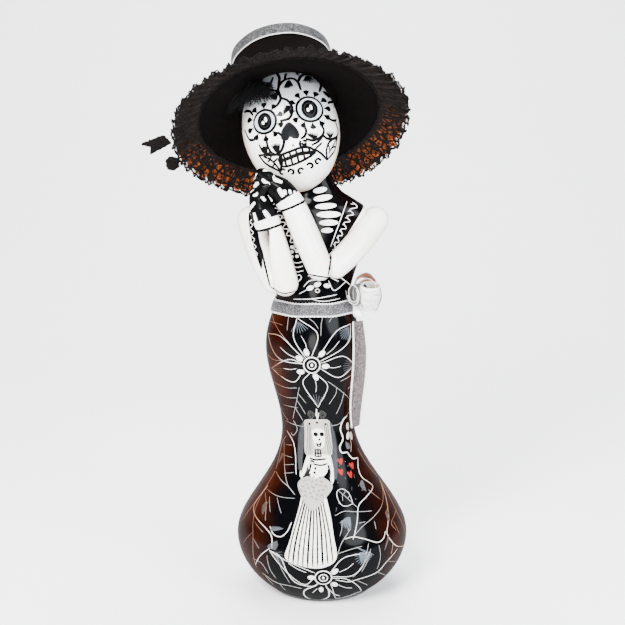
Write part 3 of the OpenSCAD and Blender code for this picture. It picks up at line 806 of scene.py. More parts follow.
# the hip flower, and the same on the back of the skirt
for turn in (0, 180):
    addFlower((turn - 2, 169), 5.6, [
        ((turn - 28, 188), (turn - 26, 201), (turn + 6, 191), "skirtBlue"),
        ((turn + 33, 191), (turn + 62, 195), (turn + 49, 182), "skirtBlue"),
        ((turn + 41, 174), (turn + 64, 166), (turn + 37, 159), "skirtGrey"),
        ((turn - 16, 155), (turn + 4, 138), (turn + 20, 153), "skirtGrey"),
        ((turn - 35, 172), (turn - 68, 163), (turn - 31, 156), "skirtGrey"),
        ((turn - 46, 187), (turn - 76, 187), (turn - 50, 172), None)],
        [(turn - 9, 178, 110), (turn + 12, 177, 45), (turn + 17, 168, 0), (turn + 3, 160.5, 120),
         (turn - 18, 164, 0), (turn - 19, 173.5, 150)])
hipVeins = [
    [(-82, 201), (-58, 193), (-32, 183)], [(-41, 203), (-40, 198), (-39, 192)], [(-78, 195), (-60, 195.5), (-48, 195)],
    [(-82, 173), (-60, 170), (-42, 171)], [(-80, 153), (-45, 151), (-26, 152)], [(-78, 145), (-48, 143.5), (-28, 144.5)],
    [(-60, 137), (-30, 137)], [(-22, 153), (-32, 140), (-43, 128)], [(-26, 148), (-15, 141)], [(-30, 143), (-18, 133)],
    [(-35, 137), (-24, 128)], [(20, 157), (36, 151), (62, 141)], [(34, 152), (33, 147), (22, 140)],
    [(48, 147), (44, 140), (34, 132)], [(40, 156), (62, 159)], [(55, 149), (64, 151)], [(20, 205), (13, 198), (11, 189)],
    [(25, 198), (36, 203), (52, 204)], [(-7, 201), (2, 198), (8, 194)], [(50, 182), (62, 188), (70, 189)],
    [(-84, 140), (-70, 131), (-55, 126)], [(-62, 125), (-40, 124), (-22, 123.5)], [(22, 124), (40, 125), (62, 131)],
]
for turn in (0, 180):
    for path in hipVeins:
        addStroke("skirtVein", onSkirt, [(u + turn, v) for u, v in path], 0.36)

# the hem flower
addFlower((0.5, 27), 5.7, [
    ((-16, 35.5), (-37, 43), (-15, 21), "skirtGrey"),
    ((14, 42), (32, 43), (22, 28), "skirtBlue"),
    ((18, 24), (37, 8), (15, 3), None)],
    [(8, 32, 45), (8.5, 21, -35), (-1, 16, 90), (-7.5, 27, 0)])
addStroke("skirtWhite", onSkirt, [(-4, 20.5), (-14, 14), (-16, 6), (-11, 1.5), (-3, 1.5), (5, 6), (5, 14), (2, 20.5)], 1.1)
addStroke("skirtWhite", onSkirt, [(5, 16), (10, 10), (16, 7)], 0.7)
addStroke("skirtWhite", onSkirt, [(-4, 17), (-8, 12)], 0.6)

# small flower beside the lady
addStroke("skirtWhite", onSkirt, [(58, 129), (48, 127), (40, 121), (42, 114), (33, 109), (34, 105), (44, 104.5)], 1.2)
addStroke("skirtWhite", onSkirt, [(44, 104.5), (46, 101.5), (50, 99.5), (60, 99)], 1.1)
addHatch("skirtGrey", onSkirt, (60, 114), (44, 106), (6, -3), 0.9, 9, 0.5, 0.95)
for x, z, tilt in ((57, 121.5, 80), (54, 115, 60), (62, 114, 80)):
    addBlob("skirtWhite", onSkirt, ovalPoints(x, z, 2.8, 1.4, tilt, perMm(z)), 0.2)
addStroke("skirtVein", onSkirt, [(58, 113), (56, 108), (50, 104)], 0.45)

# little leaf, hearts and dots on the plain part
addStroke("skirtWhite", onSkirt, [(28, 73.5), (27, 80), (21, 83), (15, 81.5), (15, 76.5), (19, 73), (28, 73.5)], 0.45)
for path in ([(17, 82), (23, 78), (31, 71)], [(21, 79.5), (24, 81.5)], [(20, 80), (19, 76)], [(24, 77), (27, 78.5)]):
    addStroke("skirtVein", onSkirt, path, 0.4)
for u, v in ((28, 99.5), (43, 95.5), (25, 93), (36, 90.5)):
    per = perMm(v)
    shape = [(0, -2.2), (1.9, 0.4), (1.7, 1.9), (0.6, 1.9), (0, 1.1), (-0.6, 1.9), (-1.7, 1.9), (-1.9, 0.4)]
    addBlob("skirtRed", onSkirt, [(u + x * per, v + z) for x, z in shape], 0.2)
for k in range(26):
    u = 11 + (k * 37 % 34)
    v = 70 + (k * 23 % 31)
    if abs(u - 22) > 8 or abs(v - 78) > 7:
        if k % 3:
            addBlob("skirtGrey", onSkirt, ovalPoints(u, v, 0.4, 0.4, 0, perMm(v), 6))
        else:
            addStroke("skirtGrey", onSkirt, [(u, v), (u + 1.5, v + 2.4)], 0.4)

# leaves and petals on the flare, on both sides and on the back: spine and half width
flareLeaves = [
    ([(-104, 90), (-110, 64), (-102, 34)], 11, 5), ([(100, 94), (104, 68), (98, 40)], 10, 5),
    ([(112, 100), (116, 70), (110, 36)], 13, 5), ([(146, 98), (142, 68), (150, 34)], 13, 5),
    ([(180, 104), (180, 74), (180, 40)], 15, 6), ([(214, 98), (218, 68), (210, 34)], 13, 5),
    ([(244, 98), (240, 66), (248, 36)], 12, 5), ([(128, 34), (140, 20), (160, 14)], 8, 4),
    ([(232, 34), (222, 20), (202, 14)], 8, 4),
]
for spine, wide, veins in flareLeaves:
    addLeaf("skirtVein", onSkirt, spine, wide, veins, 0.42, perMm(spine[1][1]))
flareLines = [
    # left of the lady
    ([(-66, 79), (-69, 64), (-44, 56), (-37, 52), (-35, 45)], 0.9), ([(-66, 89), (-68, 78), (-71, 67), (-76, 52)], 0.5),
    ([(-68, 79), (-66, 66), (-60, 57), (-53, 45), (-53, 25)], 0.45), ([(-64, 89), (-47, 85), (-37, 83), (-27, 79)], 0.6),
    ([(-64, 77), (-44, 76), (-26, 77)], 0.45), ([(-64, 75), (-54, 69), (-47, 60)], 0.4), ([(-45, 75), (-35, 67)], 0.4),
    ([(-55, 74), (-46, 66)], 0.4), ([(-41, 58), (-36, 54), (-30, 53.5), (-26, 57), (-24, 63)], 0.9),
    ([(-35, 46), (-44, 38), (-53, 27)], 0.7), ([(-36, 43), (-28, 40), (-24, 29), (-19, 21), (-8, 19), (-3, 22)], 0.9),
    ([(-48, 22), (-37, 17), (-26, 17), (-16, 16)], 0.6), ([(-39, 39), (-38, 29), (-35, 21)], 0.4),
    ([(-31, 41), (-28, 31), (-24, 20)], 0.4), ([(-55, 32), (-45, 31), (-41, 24)], 0.4), ([(-53, 47), (-46, 42)], 0.4),
    ([(-56, 50), (-66, 39)], 0.4), ([(-58, 57), (-45, 53)], 0.4), ([(-46, 20), (-43, 13)], 0.4), ([(-34, 17), (-33, 10)], 0.4),
    ([(-62, 114), (-74, 106), (-66, 90)], 0.5), ([(-68, 110), (-55, 97), (-40, 85), (-29, 80)], 0.5),
    ([(-60, 118), (-45, 112), (-38, 104), (-34, 96), (-31, 91)], 0.7), ([(-60, 108), (-46, 109)], 0.4),
    ([(-60, 101), (-42, 101)], 0.4), ([(-54, 95), (-37, 97)], 0.4), ([(-49, 90), (-35, 92)], 0.4),
    ([(-42, 127), (-36, 121), (-45, 116), (-50, 118)], 0.45),
    # right of the lady
    ([(60, 99), (52, 93), (51, 87), (60, 80), (46, 76), (33, 72), (27, 63), (21, 53)], 0.8),
    ([(84, 80), (61, 69), (45, 64), (31, 60), (22, 55)], 0.5),
    ([(81, 79), (64, 65), (54, 56), (50, 50), (58, 40), (76, 33)], 0.9), ([(82, 78), (75, 62), (74, 52), (76, 42)], 0.5),
    ([(75, 60), (59, 56), (61, 50)], 0.4), ([(15, 54), (22, 54.5), (30, 52), (39, 48), (45, 49), (49, 53)], 0.8),
    ([(10, 68), (18, 70), (27, 69), (44, 67)], 0.55), ([(15, 65), (14, 60), (12, 56)], 0.45), ([(22, 66), (20, 61), (18, 58)], 0.45),
    ([(21, 60), (13, 52), (9, 43)], 0.5), ([(10, 45), (18, 47), (27, 48)], 0.5),
    ([(9, 25), (19, 22), (25, 23), (41, 25), (48, 31), (60, 37)], 0.7), ([(21, 26), (27, 33), (29, 41), (32, 49)], 0.5),
    ([(27, 29), (30, 36), (33, 45)], 0.45), ([(41, 25), (60, 15)], 0.45), ([(25, 22), (38, 14)], 0.5), ([(50, 31), (68, 24)], 0.45),
    ([(40, 46), (41, 37), (40, 28)], 0.4), ([(28, 62), (34, 62)], 0.4), ([(42, 61), (41, 56)], 0.4), ([(51, 79), (60, 71)], 0.4),
    ([(70, 104), (74, 92), (82, 82)], 0.5), ([(62, 56), (64, 46)], 0.4), ([(54, 44), (52, 36)], 0.4),
]
for path, width in flareLines:
    addStroke("skirtWhite" if width > 0.65 else "skirtVein", onSkirt, path, width * 0.85)
for base, tip, half, look in (
        ((-24, 50), (-40, 45), (0, 4), "skirtGrey"), ((-28, 62), (-40, 55), (6, 0), "skirtGrey"),
        ((18, 50), (36, 40), (6, -4), "skirtBlue"), ((36, 30), (24, 45), (5, 3), "skirtBlue"),
        ((12, 56), (22, 67), (5, -3), "skirtBlue"), ((42, 40), (52, 50), (3, 5), "skirtGrey"),
        ((40, 76), (50, 86), (3, -3), "skirtGrey"), ((-60, 76), (-52, 62), (3, 2), "skirtGrey"),
        ((-62, 108), (-66, 93), (4, 0), "skirtGrey"), ((64, 70), (56, 56), (4, 0), "skirtGrey")):
    addHatch(look, onSkirt, base, tip, half, 1.0, 8, 0.4, 0.95)

# the lady
for path, width in (([(-22, 127), (-29, 118), (-30, 106), (-27, 94)], 5.0), ([(23, 126), (24, 112), (20, 98), (16, 89)], 5.0)):
    addStroke("ladyShade", onSkirt, path, width, 0.08)
addBlob("ladyWhite", onSkirt, [(-19, 84), (-9, 81), (1, 84), (6, 72), (8, 56), (9, 41), (-1, 34.5), (-14, 35.5), (-25, 40),
                               (-23, 52), (-21, 70)])
for k in range(10):
    t = (k + 0.6) / 10.2
    addStroke("ladyInk", onSkirt, [(-18 + 18 * t, 82 - 3 * math.sin(math.pi * t)), (-22 + 28 * t, 60),
                                   (-24.5 + 33 * t, 40 - 4.5 * math.sin(math.pi * t ** 0.8))], 1.5 + 0.5 * (k % 3 == 1), 0.24)
addBlob("ladyCream", onSkirt, [(-21, 128.5), (0, 129.5), (20, 128.5), (22, 122), (21, 108), (15, 103.5), (0, 103), (-18, 103.5),
                               (-24, 108), (-23, 121)])
addBlob("ladyWhite", onSkirt, [(-9, 122), (10, 122), (10.5, 115), (6, 109.5), (-5, 109.5), (-9.5, 115)], 0.22)
for u in (-18, -15, -12.5, 12, 15, 18):
    addStroke("ladyGrey", onSkirt, [(u * 0.95, 126), (u, 115), (u * 1.1, 105)], 0.7, 0.2)
addBlob("ladyWhite", onSkirt, [(-17, 104.5), (-2, 105), (13, 104.5), (11, 98), (5, 92), (-8, 89), (-14, 92), (-17, 98)])
for path in ([(-17, 104), (-20, 98), (-23, 91)], [(13, 104), (14, 96), (12, 88)]):
    addStroke("ladyWhite", onSkirt, path, 3.4, 0.16, taper=0.8)
for path in ([(-24, 92), (-22, 87)], [(14, 89), (9, 85)], [(-26, 94), (-25, 90)]):
    addStroke("ladyWhite", onSkirt, path, 1.6, 0.18)
addBlob("ladyCream", onSkirt, [(-8, 89.5), (-17, 91), (-27, 86.5), (-21, 79), (-9, 70.5), (3, 78), (12, 85.5), (1, 91)], 0.4)
for k in range(26):
    a, r = k * 137.5, 1.15 * math.sqrt(k)
    u, v = -8.5 + r * 2.4 * math.cos(math.radians(a)), 83.5 + r * 1.25 * math.sin(math.radians(a))
    addStroke("ladyGrey", onSkirt, [(u - 1.5, v), (u, v + 1.3), (u + 1.4, v - 0.4)], 0.9, 0.5)
for path, width in (
        ([(-15, 102.5), (-7, 101.5), (8, 102)], 0.8), ([(-14, 100.8), (-8, 100)], 0.9), ([(-10, 98.8), (0, 98), (9, 99)], 0.7),
        ([(-13, 99), (-15, 94), (-20, 91.5)], 0.8), ([(10, 98), (11, 93), (8, 90)], 0.8), ([(-19, 90), (-13, 92.5)], 0.7),
        ([(-6.5, 108), (1.5, 108)], 0.5), ([(-6.5, 105.8), (1.5, 105.8)], 0.5), ([(-6.5, 103.6), (1.5, 103.6)], 0.5),
        ([(-6.5, 108.2), (-6.5, 103.5)], 0.5), ([(1.5, 108.2), (1.5, 103.5)], 0.5), ([(-2.5, 108.2), (-2.5, 103.5)], 0.5),
        ([(-4, 112.6), (-1, 111.4), (4, 113)], 0.6), ([(-4, 112.6), (-3, 110.6), (1, 110.2), (4, 113)], 0.6),
        ([(-2, 112), (-2, 110.4)], 0.4), ([(1, 112), (1, 110.4)], 0.4), ([(0.2, 115.6), (1.4, 114.2), (2.2, 115.6)], 0.7)):
    addStroke("ladyInk", onSkirt, path, width * 1.6 + 0.6, 0.3, taper=0.85)
for u, v, ru, rv in ((-4, 118.6, 1.7, 1.6), (6, 118.6, 1.7, 1.6), (-7, 96, 0.9, 0.9), (-8, 93.4, 0.9, 0.9),
                     (-13, 126, 0.9, 0.8), (0, 127, 0.9, 0.8), (14, 125.8, 0.9, 0.8)):
    addBlob("ladyInk", onSkirt, ovalPoints(u, v, ru, rv, 0, perMm(v), 8), 0.26)
for u, step in ((-9, 1), (10, -1)):
    for k in range(16):
        r = 0.4 + 0.15 * k
        a = math.radians(k * 100)
        b = a + 1.7
        addStroke("ladyGrey", onSkirt, [(u + 2.2 * r * math.cos(a), 132.5 + r * math.sin(a)),
                                        (u + 2.2 * (r + 0.4) * math.cos((a + b) / 2), 132.5 + (r + 0.4) * math.sin((a + b) / 2)),
                                        (u + 2.2 * r * math.cos(b), 132.5 + r * math.sin(b))], 0.8)
for path in ([(1, 137), (0.5, 133), (1, 128)], [(-1, 134), (1, 130)], [(4, 134), (2, 130)]):
    addStroke("skirtWhite", onSkirt, path, 1.1)
for group, look, slotName in (
        ("skirtWhite", "whitePaint", "white_lacquer"), ("skirtVein", "veinPaint", "white_lacquer"), ("skirtGrey", "greyPaint", "white_lacquer"),
        ("skirtBlue", "bluePaint", "white_lacquer"), ("skirtRed", "redPaint", "rust_ribbon"),
        ("ladyShade", "veilPaint", "black_lacquer"), ("ladyWhite", "ladyPaint", "white_lacquer"),
        ("ladyCream", "creamPaint", "white_lacquer"), ("ladyGrey", "linePaint", "black_lacquer"),
        ("ladyInk", "blackPaint", "black_lacquer")):
    finishPaint(group, group, look, slotName)
print("skirt painted")
# ---------- the face: x and z of the head's own front view ----------
headTree = surfaceOf(headSkin)
onFace = fromFront(headTree, headFrame)
eyes = [{"spot": (-15, 3), "ring": 7.6, "drops": 10, "from": 10}, {"spot": (15.5, 5), "ring": 8.3, "drops": 12, "from": 0}]
for eye in eyes:
    u, v = eye["spot"]
    addBlob("facePale", onFace, ovalPoints(u, v, eye["ring"], eye["ring"], 0, 1, 16), 0.08)
    addStroke("faceInk", onFace, ovalPoints(u, v, eye["ring"], eye["ring"], 0, 1, 16), 2.4, closed=True)
    addBlob("faceInk", onFace, ovalPoints(u, v, eye["ring"] * 0.66, eye["ring"] * 0.8), 0.16)
    addStroke("faceGrey", onFace, ovalPoints(u, v, eye["ring"] * 0.42, eye["ring"] * 0.5), 0.4, 0.24, closed=True)
    addBlob("faceWhite", onFace, ovalPoints(u - 1.1, v - 0.6, 0.9, 1.3, 0, 1, 8), 0.26)
    addBlob("faceWhite", onFace, ovalPoints(u + 1, v + 1, 0.9, 1.7, 0, 1, 8), 0.26)
    for k in range(eye["drops"]):
        a = eye["from"] + 360 * k / eye["drops"]
        addBlob("faceInk", onFace, dropPoints(u, v, a, eye["ring"] + 0.8, eye["ring"] + 5.3, 1.9), 0.16)
addBlob("faceCoal", onFace, [(0.4, -1.4), (4, -4.8), (6, -9.8), (4.6, -13), (1.4, -12.6), (-0.6, -11.2), (-2.4, -12.8),
                             (-5.4, -12.8), (-6.8, -9.6), (-4.4, -4.6)], 0.16)
# scallops of the petals round the eyes: edge, and where the hatching starts
faceScallops = [
    ([(-1.5, 16), (-2, 23), (2, 28), (8, 29), (11.5, 25.5), (12.5, 19)], (4, 18), (6, 28), (4, 0)),
    ([(11.5, 25.5), (15, 31), (20, 32), (25, 29), (26, 23), (24, 17)], (19, 20), (19, 31), (5, -1)),
    ([(26, 24), (30, 20), (32, 13), (28, 9)], (25, 14), (31, 18), (2, -3)),
    ([(-8, 24), (-3, 21), (-1.5, 16), (-4, 12), (-8, 10)], (-10, 14), (-3, 20), (2.5, -3)),
    ([(-1.5, 16), (3, 12.5), (4.5, 6.5), (1.5, 1), (-5, 0.5)], (-5, 6), (4, 8), (1.5, 4)),
    ([(9.5, -4.5), (10.5, -9), (8.5, -12.5), (5.5, -13.5)], None, None, None),
    ([(20.5, -5.5), (22, -9.5), (19.5, -13.5), (14, -15.5), (9, -14)], (13, -8), (15, -15), (-5, 0.5)),
    ([(25, -1), (29, -3), (31.5, -2)], None, None, None),
    ([(30.5, -3), (31, -9.5), (28, -14.5), (23, -15), (20, -12)], (26, -8), (25, -14.5), (-3.5, 0)),
    ([(-16, -6.5), (-16.5, -13), (-14.5, -18), (-10.5, -19.5), (-6.5, -16), (-5, -11), (-8, -6)], (-11, -9), (-11, -19), (-4, 0.5)),
    ([(-22, -10), (-20.5, -15), (-17.5, -17.5), (-15, -16.5)], (-20, -9), (-18, -17), (-2.5, 0)),
    ([(-30, 4), (-28, -4), (-24, -6)], None, None, None), ([(-28, 16), (-24, 14), (-22, 10)], None, None, None),
]
for edge, base, tip, half in faceScallops:
    addStroke("faceInk", onFace, edge, 2.4, taper=0.75)
    if base:
        addHatch("faceInk", onFace, base, tip, half, 1.3, 7, 0.35, 1.0)
faceLines = [
    ([(5, 34), (4, 31), (3.5, 28.5)], 0.6), ([(-4, 33), (-6, 29), (-8, 24)], 0.6), ([(12, 35), (12.5, 31)], 0.6),
    ([(22, 34), (23, 31)], 0.5), ([(-1, 36), (0, 31), (-1.5, 25)], 0.6), ([(29, 26), (27, 24)], 0.6),
    # the mouth
    ([(-11.5, -24.5), (-4, -23.6), (4, -22.6), (13.5, -23)], 1.1),
    ([(-11.5, -24), (-9, -20.9), (-2, -19.8), (6, -18.9), (11, -20), (13.8, -23)], 0.6),
    ([(-11.3, -25), (-9, -27.8), (-2, -28), (5, -26.6), (10, -24.8), (13.8, -23)], 0.6),
    # cheek leaves
    ([(-24, -16), (-17, -18.5), (-10, -20.5), (-9.5, -25), (-12, -30)], 0.6),
    ([(-24, -16), (-20, -23), (-12, -30)], 0.7), ([(-21, -18), (-16, -22), (-12, -29)], 0.5),
    ([(-17, -21), (-15, -19)], 0.4), ([(-15, -23.5), (-11.5, -22)], 0.4), ([(-17, -21.5), (-19, -22)], 0.4),
    ([(-14.5, -24.5), (-16.5, -26)], 0.4), ([(12, -18.5), (17, -16.5), (21, -13)], 0.5), ([(14, -21), (19, -17.5)], 0.5),
    ([(20, -28), (21, -22), (24, -17), (30, -13)], 0.6), ([(20, -28), (26, -22), (30, -13)], 0.7),
    ([(22, -24), (26, -19), (29, -14.5)], 0.4), ([(24, -21), (27, -19.5)], 0.4), ([(23, -22.5), (23, -19)], 0.4),
    ([(13, -21), (17, -24), (20, -28)], 0.5), ([(0, -16), (0.3, -17.5)], 0.5),
    # swirl under the right eye
    ([(5.5, -14.5), (4.6, -17), (6, -19), (8.5, -18), (8, -16)], 0.6), ([(6, -16), (7, -17.5), (9.5, -16.5)], 0.6),
    ([(7, -14.8), (9.8, -15.5)], 0.6),
]
for k, (u, v, way) in enumerate(((-10.5, -30.5, -1), (-5, -32, 1), (1.5, -32.6, -1), (8.2, -30.6, 1), (14, -28.6, -1))):
    faceLines.append(([(u - 2 * way, v + 0.4), (u - 0.4 * way, v + 1.6), (u + 1.6 * way, v + 0.6), (u + 1.2 * way, v - 1.2),
                       (u - 0.2 * way, v - 0.8)], 0.6))
for k in range(5):
    u = -7.4 + 4.3 * k
    faceLines.append(([(u, -20.4 + 0.25 * k), (u + 0.2, -23.8 + 0.2 * k)], 0.55))
    faceLines.append(([(u + 0.3, -24.2 + 0.25 * k), (u + 0.2, -27.8 + 0.5 * k)], 0.55))
for path, width in faceLines:
    addStroke("faceInk", onFace, path, width * 2 + 1.1, taper=0.75)
# vein lines on the back of the head, with a flower
onNape = fromFront(headTree, headFrame, -1)
addStroke("faceInk", onNape, ovalPoints(0, 2, 4, 4), 0.9, closed=True)
addBlob("faceInk", onNape, ovalPoints(0, 2, 1.8, 1.8, 0, 1, 8), 0.16)
for k in range(6):
    a = math.radians(30 + 60 * k)
    way, side = Vector((math.cos(a), math.sin(a))), Vector((-math.sin(a), math.cos(a)))
    spot = Vector((0, 2))
    for s in (1, -1):
        addStroke("faceInk", onNape, [spot + way * 4.6, spot + way * 10 + side * 4.2 * s, spot + way * 17], 0.9, taper=0.7)
    addHatch("faceInk", onNape, spot + way * 4.6, spot + way * 17, side * 4, 0.5, 5, 0.6, 0.9)
for group, look, slotName in (
        ("faceInk", "blackPaint", "black_lacquer"), ("facePale", "palePaint", "white_lacquer"),
        ("faceGrey", "linePaint", "black_lacquer"), ("faceWhite", "purePaint", "white_lacquer"),
        ("faceCoal", "charcoalPaint", "black_lacquer")):
    finishPaint(group, group, look, slotName)
print("face painted")


# ---------- hands, arms and bodice ----------
handTree = surfaceOf(limbs["handLeft"], limbs["handRight"])
armTree = surfaceOf(limbs["foreArmLeft"], limbs["foreArmRight"], limbs["upperArmLeft"], limbs["upperArmRight"])
bodiceTree = surfaceOf(bodiceSkin)
onArms = fromFront(armTree)
onBodice = fromFront(bodiceTree)
onBack = fromFront(bodiceTree, Matrix(), -1)


def nearest(tree):
    # strokes given as points near the skin
    def find(u, v):
        spot, normal, _, _ = tree.find_nearest(Vector((u[0], u[1], v)))
        return spot, normal
    return find


def addBone(a, b, width):
    # a bone of a painted hand, between two points near the skin
    a, b = Vector(a), Vector(b)
    spots = []
    for k in range(7):
        spot, normal, _, _ = handTree.find_nearest(a.lerp(b, k / 6))
        spots.append((spot, normal))

    def find(u, v):
        t = min(max(u, 0), 1) * 6
        i = min(int(t), 5)
        point, normal, _, _ = handTree.find_nearest(spots[i][0].lerp(spots[i + 1][0], t - i))
        return point, normal
    addStroke("handBone", find, [(0, 0), (0.5, 0), (1, 0)], width, 0.16, taper=0.55)


handBones = [
    # the left hand's fingers and back
    ((-47, -24, 296), (-44, -30, 300), 2.2), ((-46, -27, 291), (-43, -33, 294), 2.2), ((-45, -33, 285), (-44, -38, 288), 2.2),
    ((-45, -33, 276), (-45, -38, 282), 2.4), ((-42, -39, 267), (-45, -39, 275), 2.4), ((-41, -37, 297), (-35, -38, 293), 2.6),
    ((-34, -38, 299), (-27, -38, 294), 2.6), ((-29, -40, 291), (-26, -42, 286), 2.6), ((-41, -37, 285), (-37, -39, 284), 2.2),
    ((-39, -42, 277), (-34, -43, 271), 2.6), ((-46, -30, 290), (-46, -30, 286), 1.6), ((-39, -36, 302), (-36, -36, 300), 2.0),
    # the right hand's knuckles
    ((-25.5, -42, 290.5), (-24.5, -42, 287), 2.2), ((-21.8, -41, 290.8), (-21.2, -41.5, 287.5), 2.0),
    ((-18.4, -39.6, 290), (-18.2, -40, 287.2), 1.8), ((-15.6, -38, 289.2), (-15.6, -38.4, 286.8), 1.6),
]
for a, b, width in handBones:
    addBone(a, b, width * 1.6)
finishPaint("handBone", "handBone", "purePaint", "white_lacquer")

# the line at each cuff goes all round the arm
for side, (wrist, fold) in wrists.items():
    along = (Vector(wrist) - Vector(fold)).normalized()
    across = along.orthogonal().normalized()
    other = along.cross(across)
    both = surfaceOf(limbs["hand" + side.title()], limbs["foreArm" + side.title()])

    def find(u, v, centre=Vector(wrist) + along * 0.4, across=across, other=other, both=both):
        way = across * math.cos(math.radians(u)) + other * math.sin(math.radians(u))
        return both.ray_cast(centre + way * 30, -way)[:2]
    addStroke("armInk", find, [(k * 30, 0) for k in range(12)], 2.0, closed=True)
armLines = [
    ([(-49.5, 279), (-46, 261), (-41, 247), (-38, 236), (-35, 225)], 1.7), ([(-35, 225), (-27, 221.5), (-18, 222.5)], 1.7),
    ([(5.5, 250), (5, 242), (3.4, 233)], 2.4), ([(-9.5, 234), (0, 232.6), (10, 229.5)], 1.7),
]
for path, width in armLines:
    addStroke("armInk", onArms, path, width, taper=0.4)
band = [(-50.5, 271), (-49.2, 258), (-45, 245), (-41, 236), (-40.6, 245), (-43.5, 258), (-46, 271)]
addBlob("armInk", onArms, band)
finishPaint("armInk", "armInk", "blackPaint", "black_lacquer")
addStroke("armTrim", onArms, [(-48.4 + 0.9 * (1 if k % 2 else -1) + 0.5 * max(k - 4, 0), 270 - 2.2 * k) for k in range(13)], 0.55, 0.25)
finishPaint("armTrim", "armTrim", "purePaint", "white_lacquer")

# ribs on the neck and chest, and the trim of the neckline, on the front and on the back
ribs = [(-1.8, 287, 4.8, 1.9, 10), (0.2, 281.8, 6.4, 2, 8), (2.2, 276.4, 7.4, 1.9, 3), (4.2, 270.8, 8.4, 2.2, 0), (4.1, 265.2, 6.6, 2, 0),
        (3, 260, 4.1, 1.7, 2)]
for u, v, wide, tall, tilt in ribs:
    addBlob("bodiceWhite", onBodice, ovalPoints(u, v, wide, tall, tilt, 1, 16), 0.16)
    addBlob("bodiceWhite", onBack, ovalPoints(-5.5, v, wide * 0.5, tall, 0, 1, 16), 0.16)
for way in (1, -1):
    middle = -5.5
    inner = [(middle + way * 22, 279), (middle + way * 16.5, 264), (middle + way * 11, 249)]
    outer = [(middle + way * 34.5, 276.5), (middle + way * 25, 259), (middle + way * 13.5, 243)]
    for find in (onBodice, onBack):
        addStroke("bodiceWhite", find, inner, 0.6)
        wave = []
        for k in range(15):
            t = k / 14
            a, b = Vector(inner[0]).lerp(Vector(inner[2]), t), Vector(outer[0]).lerp(Vector(outer[2]), t)
            wave.append(a.lerp(b, 0.5 + (0.18 if k % 2 else -0.18)))
        addStroke("bodiceWhite", find, wave, 0.6)
        for k in range(0, 14, 2):
            t = (k + 0.5) / 14
            a, b = Vector(inner[0]).lerp(Vector(inner[2]), t), Vector(outer[0]).lerp(Vector(outer[2]), t)
            addStroke("bodiceWhite", find, [a.lerp(b, 0.25), a.lerp(b, 0.42)], 0.5)
bodiceLines = [
    ([(-22, 238.5), (-17, 238), (-13.5, 239)], 0.7), ([(-22, 235.5), (-17, 235), (-13.5, 236)], 0.7),
    ([(-21.5, 232.5), (-17, 232), (-13, 233)], 0.7), ([(-17, 225), (-14.5, 228), (-16, 230), (-18.5, 228.5)], 0.8),
    ([(-10, 229.5), (0, 230.5), (11, 225)], 0.7), ([(-13, 222), (-9, 226), (-3, 227)], 0.6), ([(-16, 217), (-9, 221)], 0.6),
    ([(4, 226), (8, 219), (16, 224)], 0.7), ([(12, 228), (19, 221), (22, 214)], 0.7), ([(-20, 213), (-6, 214), (10, 216)], 0.6),
    ([(16, 218), (17, 212)], 0.5), ([(-8, 214), (0, 212), (12, 213)], 0.5), ([(8, 232), (11, 229)], 0.6),
]
for path, width in bodiceLines:
    addStroke("bodiceWhite", onBodice, path, width)
for u, v, wide, tall, tilt in ((-3.5, 223.6, 2.6, 1.6, 20), (-8.6, 221.2, 2.6, 1.6, 20), (3, 222.6, 2.4, 1.5, -10),
                               (-21, 248.5, 1.2, 1.1, 0), (-17.5, 249, 1.2, 1.1, 0), (-21, 245.3, 1.2, 1.1, 0),
                               (-17.5, 245.8, 1.2, 1.1, 0), (-21, 242, 1.2, 1.1, 0), (-17.5, 242.4, 1.2, 1.1, 0)):
    addBlob("bodiceWhite", onBodice, ovalPoints(u, v, wide, tall, tilt, 1, 10), 0.16)
addStroke("bodiceWhite", onBodice, ovalPoints(-3.5, 219.4, 1.4, 1.2, 0, 1, 8), 0.5, closed=True)
finishPaint("bodiceWhite", "bodiceWhite", "purePaint", "white_lacquer")
print("bodice painted")
# ---------- cloth and ribbon ----------
def gridObject(name, rows, closed=False, uv=None):
    # rows of points along the cloth; uv gives millimetres along and across it
    count, wide = len(rows), len(rows[0])
    verts = [p for row in rows for p in row]
    faces = []
    for i in range(count if closed else count - 1):
        a, b = i * wide, ((i + 1) % count) * wide
        faces += [(a + k, a + k + 1, b + k + 1, b + k) for k in range(wide - 1)]
    obj = meshObject(name, verts, faces)
    layer = obj.data.uv_layers.new(name="UVMap")
    uvs = []
    for i in range(count if closed else count - 1):
        for k in range(wide - 1):
            uvs += [(uv(i, k)), (uv(i, k + 1)), (uv(i + 1, k + 1)), (uv(i + 1, k))]
    for loop, value in zip(layer.data, uvs):
        loop.uv = value
    return obj


def stripObject(name, middle, across, width, look, body, nodes, slotName, closed=False, lanes=8, belly=0.0):
    # a ribbon along the points in middle; across gives its sideways direction at each
    count = len(middle)
    rows, run = [], [0.0]
    for i in range(1, count + 1):
        run.append(run[-1] + (Vector(middle[i % count]) - Vector(middle[i - 1])).length)
    for i in range(count):
        side = Vector(across[i]).normalized()
        ahead = Vector(middle[(i + 1) % count]) - Vector(middle[i]) if i + 1 < count or closed else \
            Vector(middle[i]) - Vector(middle[i - 1])
        out = side.cross(ahead).normalized()
        rows.append([Vector(middle[i]) + side * width * (k / lanes - 0.5)
                     + out * belly * math.sin(math.pi * k / lanes) for k in range(lanes + 1)])
    obj = gridObject(name, rows, closed, lambda i, k: (run[i], 10 * k / lanes))
    setMaterial(obj, finish[look])
    return standFor(obj, body, nodes, slotName), run[-1] if closed else run[-2]


